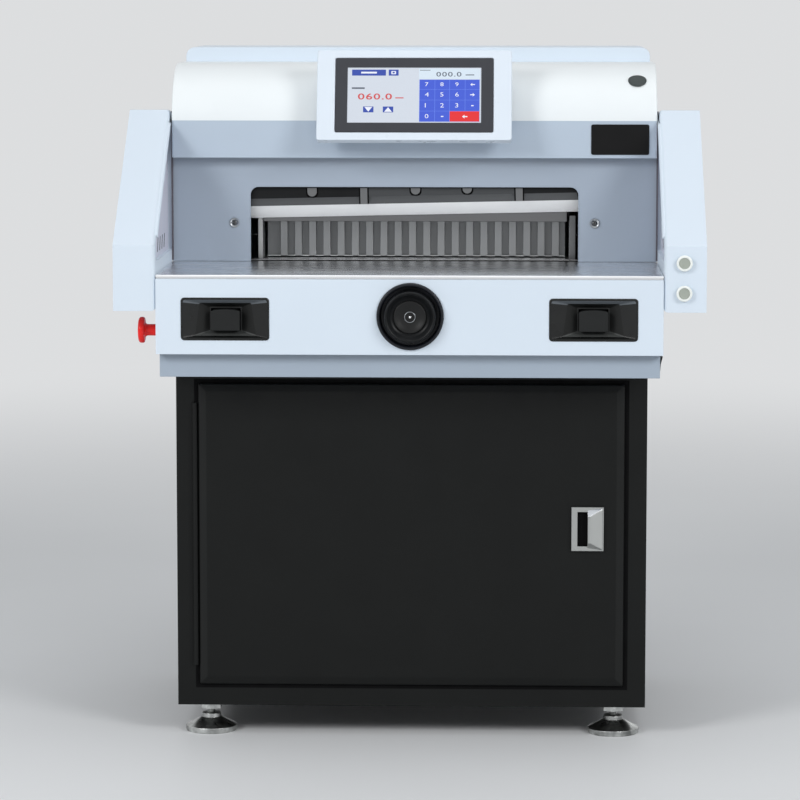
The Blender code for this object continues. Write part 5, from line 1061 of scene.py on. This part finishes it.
turned("handwheel_disc", (
    (0.0249, -0.0081), (0.0249, -0.0132), (0.0240, -0.0144), (0.0225, -0.0143), (0.0150, -0.0118),
    (0.0098, -0.0108), (0.0084, -0.0108), (0, -0.0106)), wheelCentre, "y", discMoulding, 96,
    (0, 0.001, 0.0008, 0.0008, 0.004, 0.001, 0, 0), **wheelWords)
turned("handwheel_screw_ring", (
    (0.0074, -0.0105), (0.0074, -0.0119), (0.0079, -0.0122), (0.0084, -0.0119), (0.0084, -0.0105)),
    wheelCentre, "y", cupSteel, 56, 0.0004, True, **screwWords)
turned("handwheel_screw", (
    (0, -0.0104), (0.0024, -0.0104), (0.0024, -0.0124), (0.0014, -0.0136), (0, -0.0140)), wheelCentre, "y",
    chromeSteel, 32, (0, 0, 0.0008, 0.0008, 0), **screwWords)
print("handwheel made")


# Emergency stop on the left side, and the two white buttons on the right guard
stopCentre = at(-0.382, 0.060, 0.6387)
turned("stop_collar_ring", (
    (0.0096, 0.0255), (0.0096, -0.0040), (0.0104, -0.0045), (0.0136, -0.0045), (0.0149, -0.0034),
    (0.0150, -0.0003), (0.0109, -0.0003), (0.0109, 0.0255)), stopCentre, "x", buttonMoulding, 64, 0.0006,
    True, slotName="button_white", standsFor=("stop_collar",))
turned("stop_head", (
    (0, 0.0128), (0.0088, 0.0128), (0.0088, -0.0190), (0.0110, -0.0214), (0.0180, -0.0224), (0.0197, -0.0236),
    (0.0200, -0.0262), (0.0196, -0.0296), (0.0172, -0.0316), (0.0090, -0.0326), (0, -0.0328)), stopCentre,
    "x", stopMoulding, 64, 0.0016, body="e_stop_body", slotName="stop_red", standsFor=("e_stop",))
for name, z in (("push_button_upper", 0.7471), ("push_button_lower", 0.7017)):
    words = {"soft": 0.0008, "body": name + "_body", "slotName": "button_white"}
    centre = at(0.4125, 0, z)
    turned(name + "_cap", (
        (0, 0.0118), (0.0092, 0.0118), (0.0092, -0.0034), (0.0118, -0.0036), (0.0122, -0.0046),
        (0.0118, -0.0062), (0.0106, -0.0069), (0.0090, -0.0069), (0.0084, -0.0062), (0.0083, -0.0050),
        (0, -0.0050)), centre, "y", buttonMoulding, 56, standsFor=(name,), **words)
    turned(name + "_dish", (
        (0, -0.0048), (0.0082, -0.0048), (0.0082, -0.0062), (0.0050, -0.0056), (0, -0.0054)), centre, "y",
        dishMoulding, 48, **words)
print("buttons made")


# Mains inlet: a socket with three blades
inlet = {"edge": 0.0008, "places": ((-0.0080, -0.0020), (0, 0.0030), (0.0080, -0.0020)),
         "half": Vector((0.0011, 0.0007, 0.0030)), "behind": 0.0009, "round": 0.0003}
low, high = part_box("mains_inlet")
dress(merged("mains_inlet"), "mains_inlet", blackMoulding, inlet["edge"])
bm = bmesh.new()
for across, above in inlet["places"]:
    centre = Vector(((low.x + high.x) / 2 + across, high.y - inlet["behind"], (low.z + high.z) / 2 + above))
    addBlock(bm, centre - inlet["half"], centre + inlet["half"], inlet["round"])
finishPiece(bm, "inlet_blades", zincSteel, slotName="zinc_steel")
print("inlet made")


# Pale sweep and plain studio light
studio = {"floor": (0.80, 0.81, 0.82), "floorRoughness": 0.6, "floorScale": 2, "waver": 0.01,
          "far": (0.72, 0.73, 0.74), "size": 30.0, "fade": (1.3, 5.0), "sky": (0.94, 0.97, 1.0),
          "skyStrength": 0.40, "lamps": {
              "left": {"place": (-3.2, -3.6, 2.7), "size": 1.6, "watts": 91, "aim": (0, 0, 0.75)},
              "right": {"place": (3.2, -3.6, 2.7), "size": 1.6, "watts": 85, "aim": (0, 0, 0.75)},
              "top": {"place": (0.3, -0.8, 4.2), "size": 2.6, "watts": 23, "aim": (0, 0, 0.6)}}}


def mathNode(tree, operation, first, second):
    node = addNode(tree, "Math", {0: first, 1: second})
    node.operation = operation
    return node


def seenShare(tree):
    # One for what the camera, metal and glass see, zero for what only lights the object
    path = addNode(tree, "LightPath", {})
    total = path.outputs["Is Camera Ray"]
    for ray in ("Is Glossy Ray", "Is Transmission Ray"):
        add = mathNode(tree, "ADD", total, path.outputs[ray])
        add.use_clamp = True
        total = add.outputs["Value"]
    return total


floorFinish = startFinish("studio_floor", studio["floor"], {"Roughness": studio["floorRoughness"]})
useColour(floorFinish, grain(floorFinish, studio["floorScale"], detail=2), studio["floor"], studio["waver"])
tree = floorFinish.node_tree
place = addNode(tree, "TexCoord", {})
reach = addNode(tree, "VectorMath", {0: place.outputs["Object"]})
reach.operation = "LENGTH"
fade = addNode(tree, "MapRange", {"Value": reach.outputs["Value"], "From Min": studio["fade"][0],
                                  "From Max": studio["fade"][1]})
fade.interpolation_type = "SMOOTHSTEP"
share = mathNode(tree, "MULTIPLY", fade.outputs["Result"], seenShare(tree))
sweep = addNode(tree, "Emission", {"Color": (*studio["far"], 1)})
mix = addNode(tree, "MixShader", {"Fac": share.outputs["Value"], 2: sweep.outputs["Emission"],
                                  1: tree.nodes["Principled BSDF"].outputs["BSDF"]})
setInputs(tree, tree.nodes["Material Output"], {"Surface": mix.outputs["Shader"]})
bm = bmesh.new()
bmesh.ops.create_grid(bm, x_segments=1, y_segments=1, size=studio["size"])
floorMesh = bpy.data.meshes.new("floor")
bm.to_mesh(floorMesh)
bm.free()
floorMesh.materials.append(floorFinish)
floor = bpy.data.objects.new("floor", floorMesh)
bpy.context.scene.collection.objects.link(floor)

world = bpy.data.worlds.new("studio")
world.use_nodes = True
bpy.context.scene.world = world
tree = world.node_tree
soft = setInputs(tree, tree.nodes["Background"], {"Color": (*studio["sky"], 1),
                                                  "Strength": studio["skyStrength"]})
pale = addNode(tree, "Background", {"Color": (*studio["far"], 1)})
mix = addNode(tree, "MixShader", {"Fac": seenShare(tree), 1: soft.outputs["Background"],
                                  2: pale.outputs["Background"]})
setInputs(tree, tree.nodes["World Output"], {"Surface": mix.outputs["Shader"]})

for name, look in studio["lamps"].items():
    light = bpy.data.lights.new(name + "_light", "AREA")
    light.shape = "SQUARE"
    light.size = look["size"]
    light.energy = look["watts"]
    lamp = bpy.data.objects.new(name + "_light", light)
    lamp.location = look["place"]
    lamp.rotation_euler = (Vector(look["aim"]) - Vector(look["place"])).to_track_quat("-Z", "Y").to_euler()
    bpy.context.scene.collection.objects.link(lamp)
bpy.context.scene.view_settings.view_transform = "Standard"
print("studio lit")
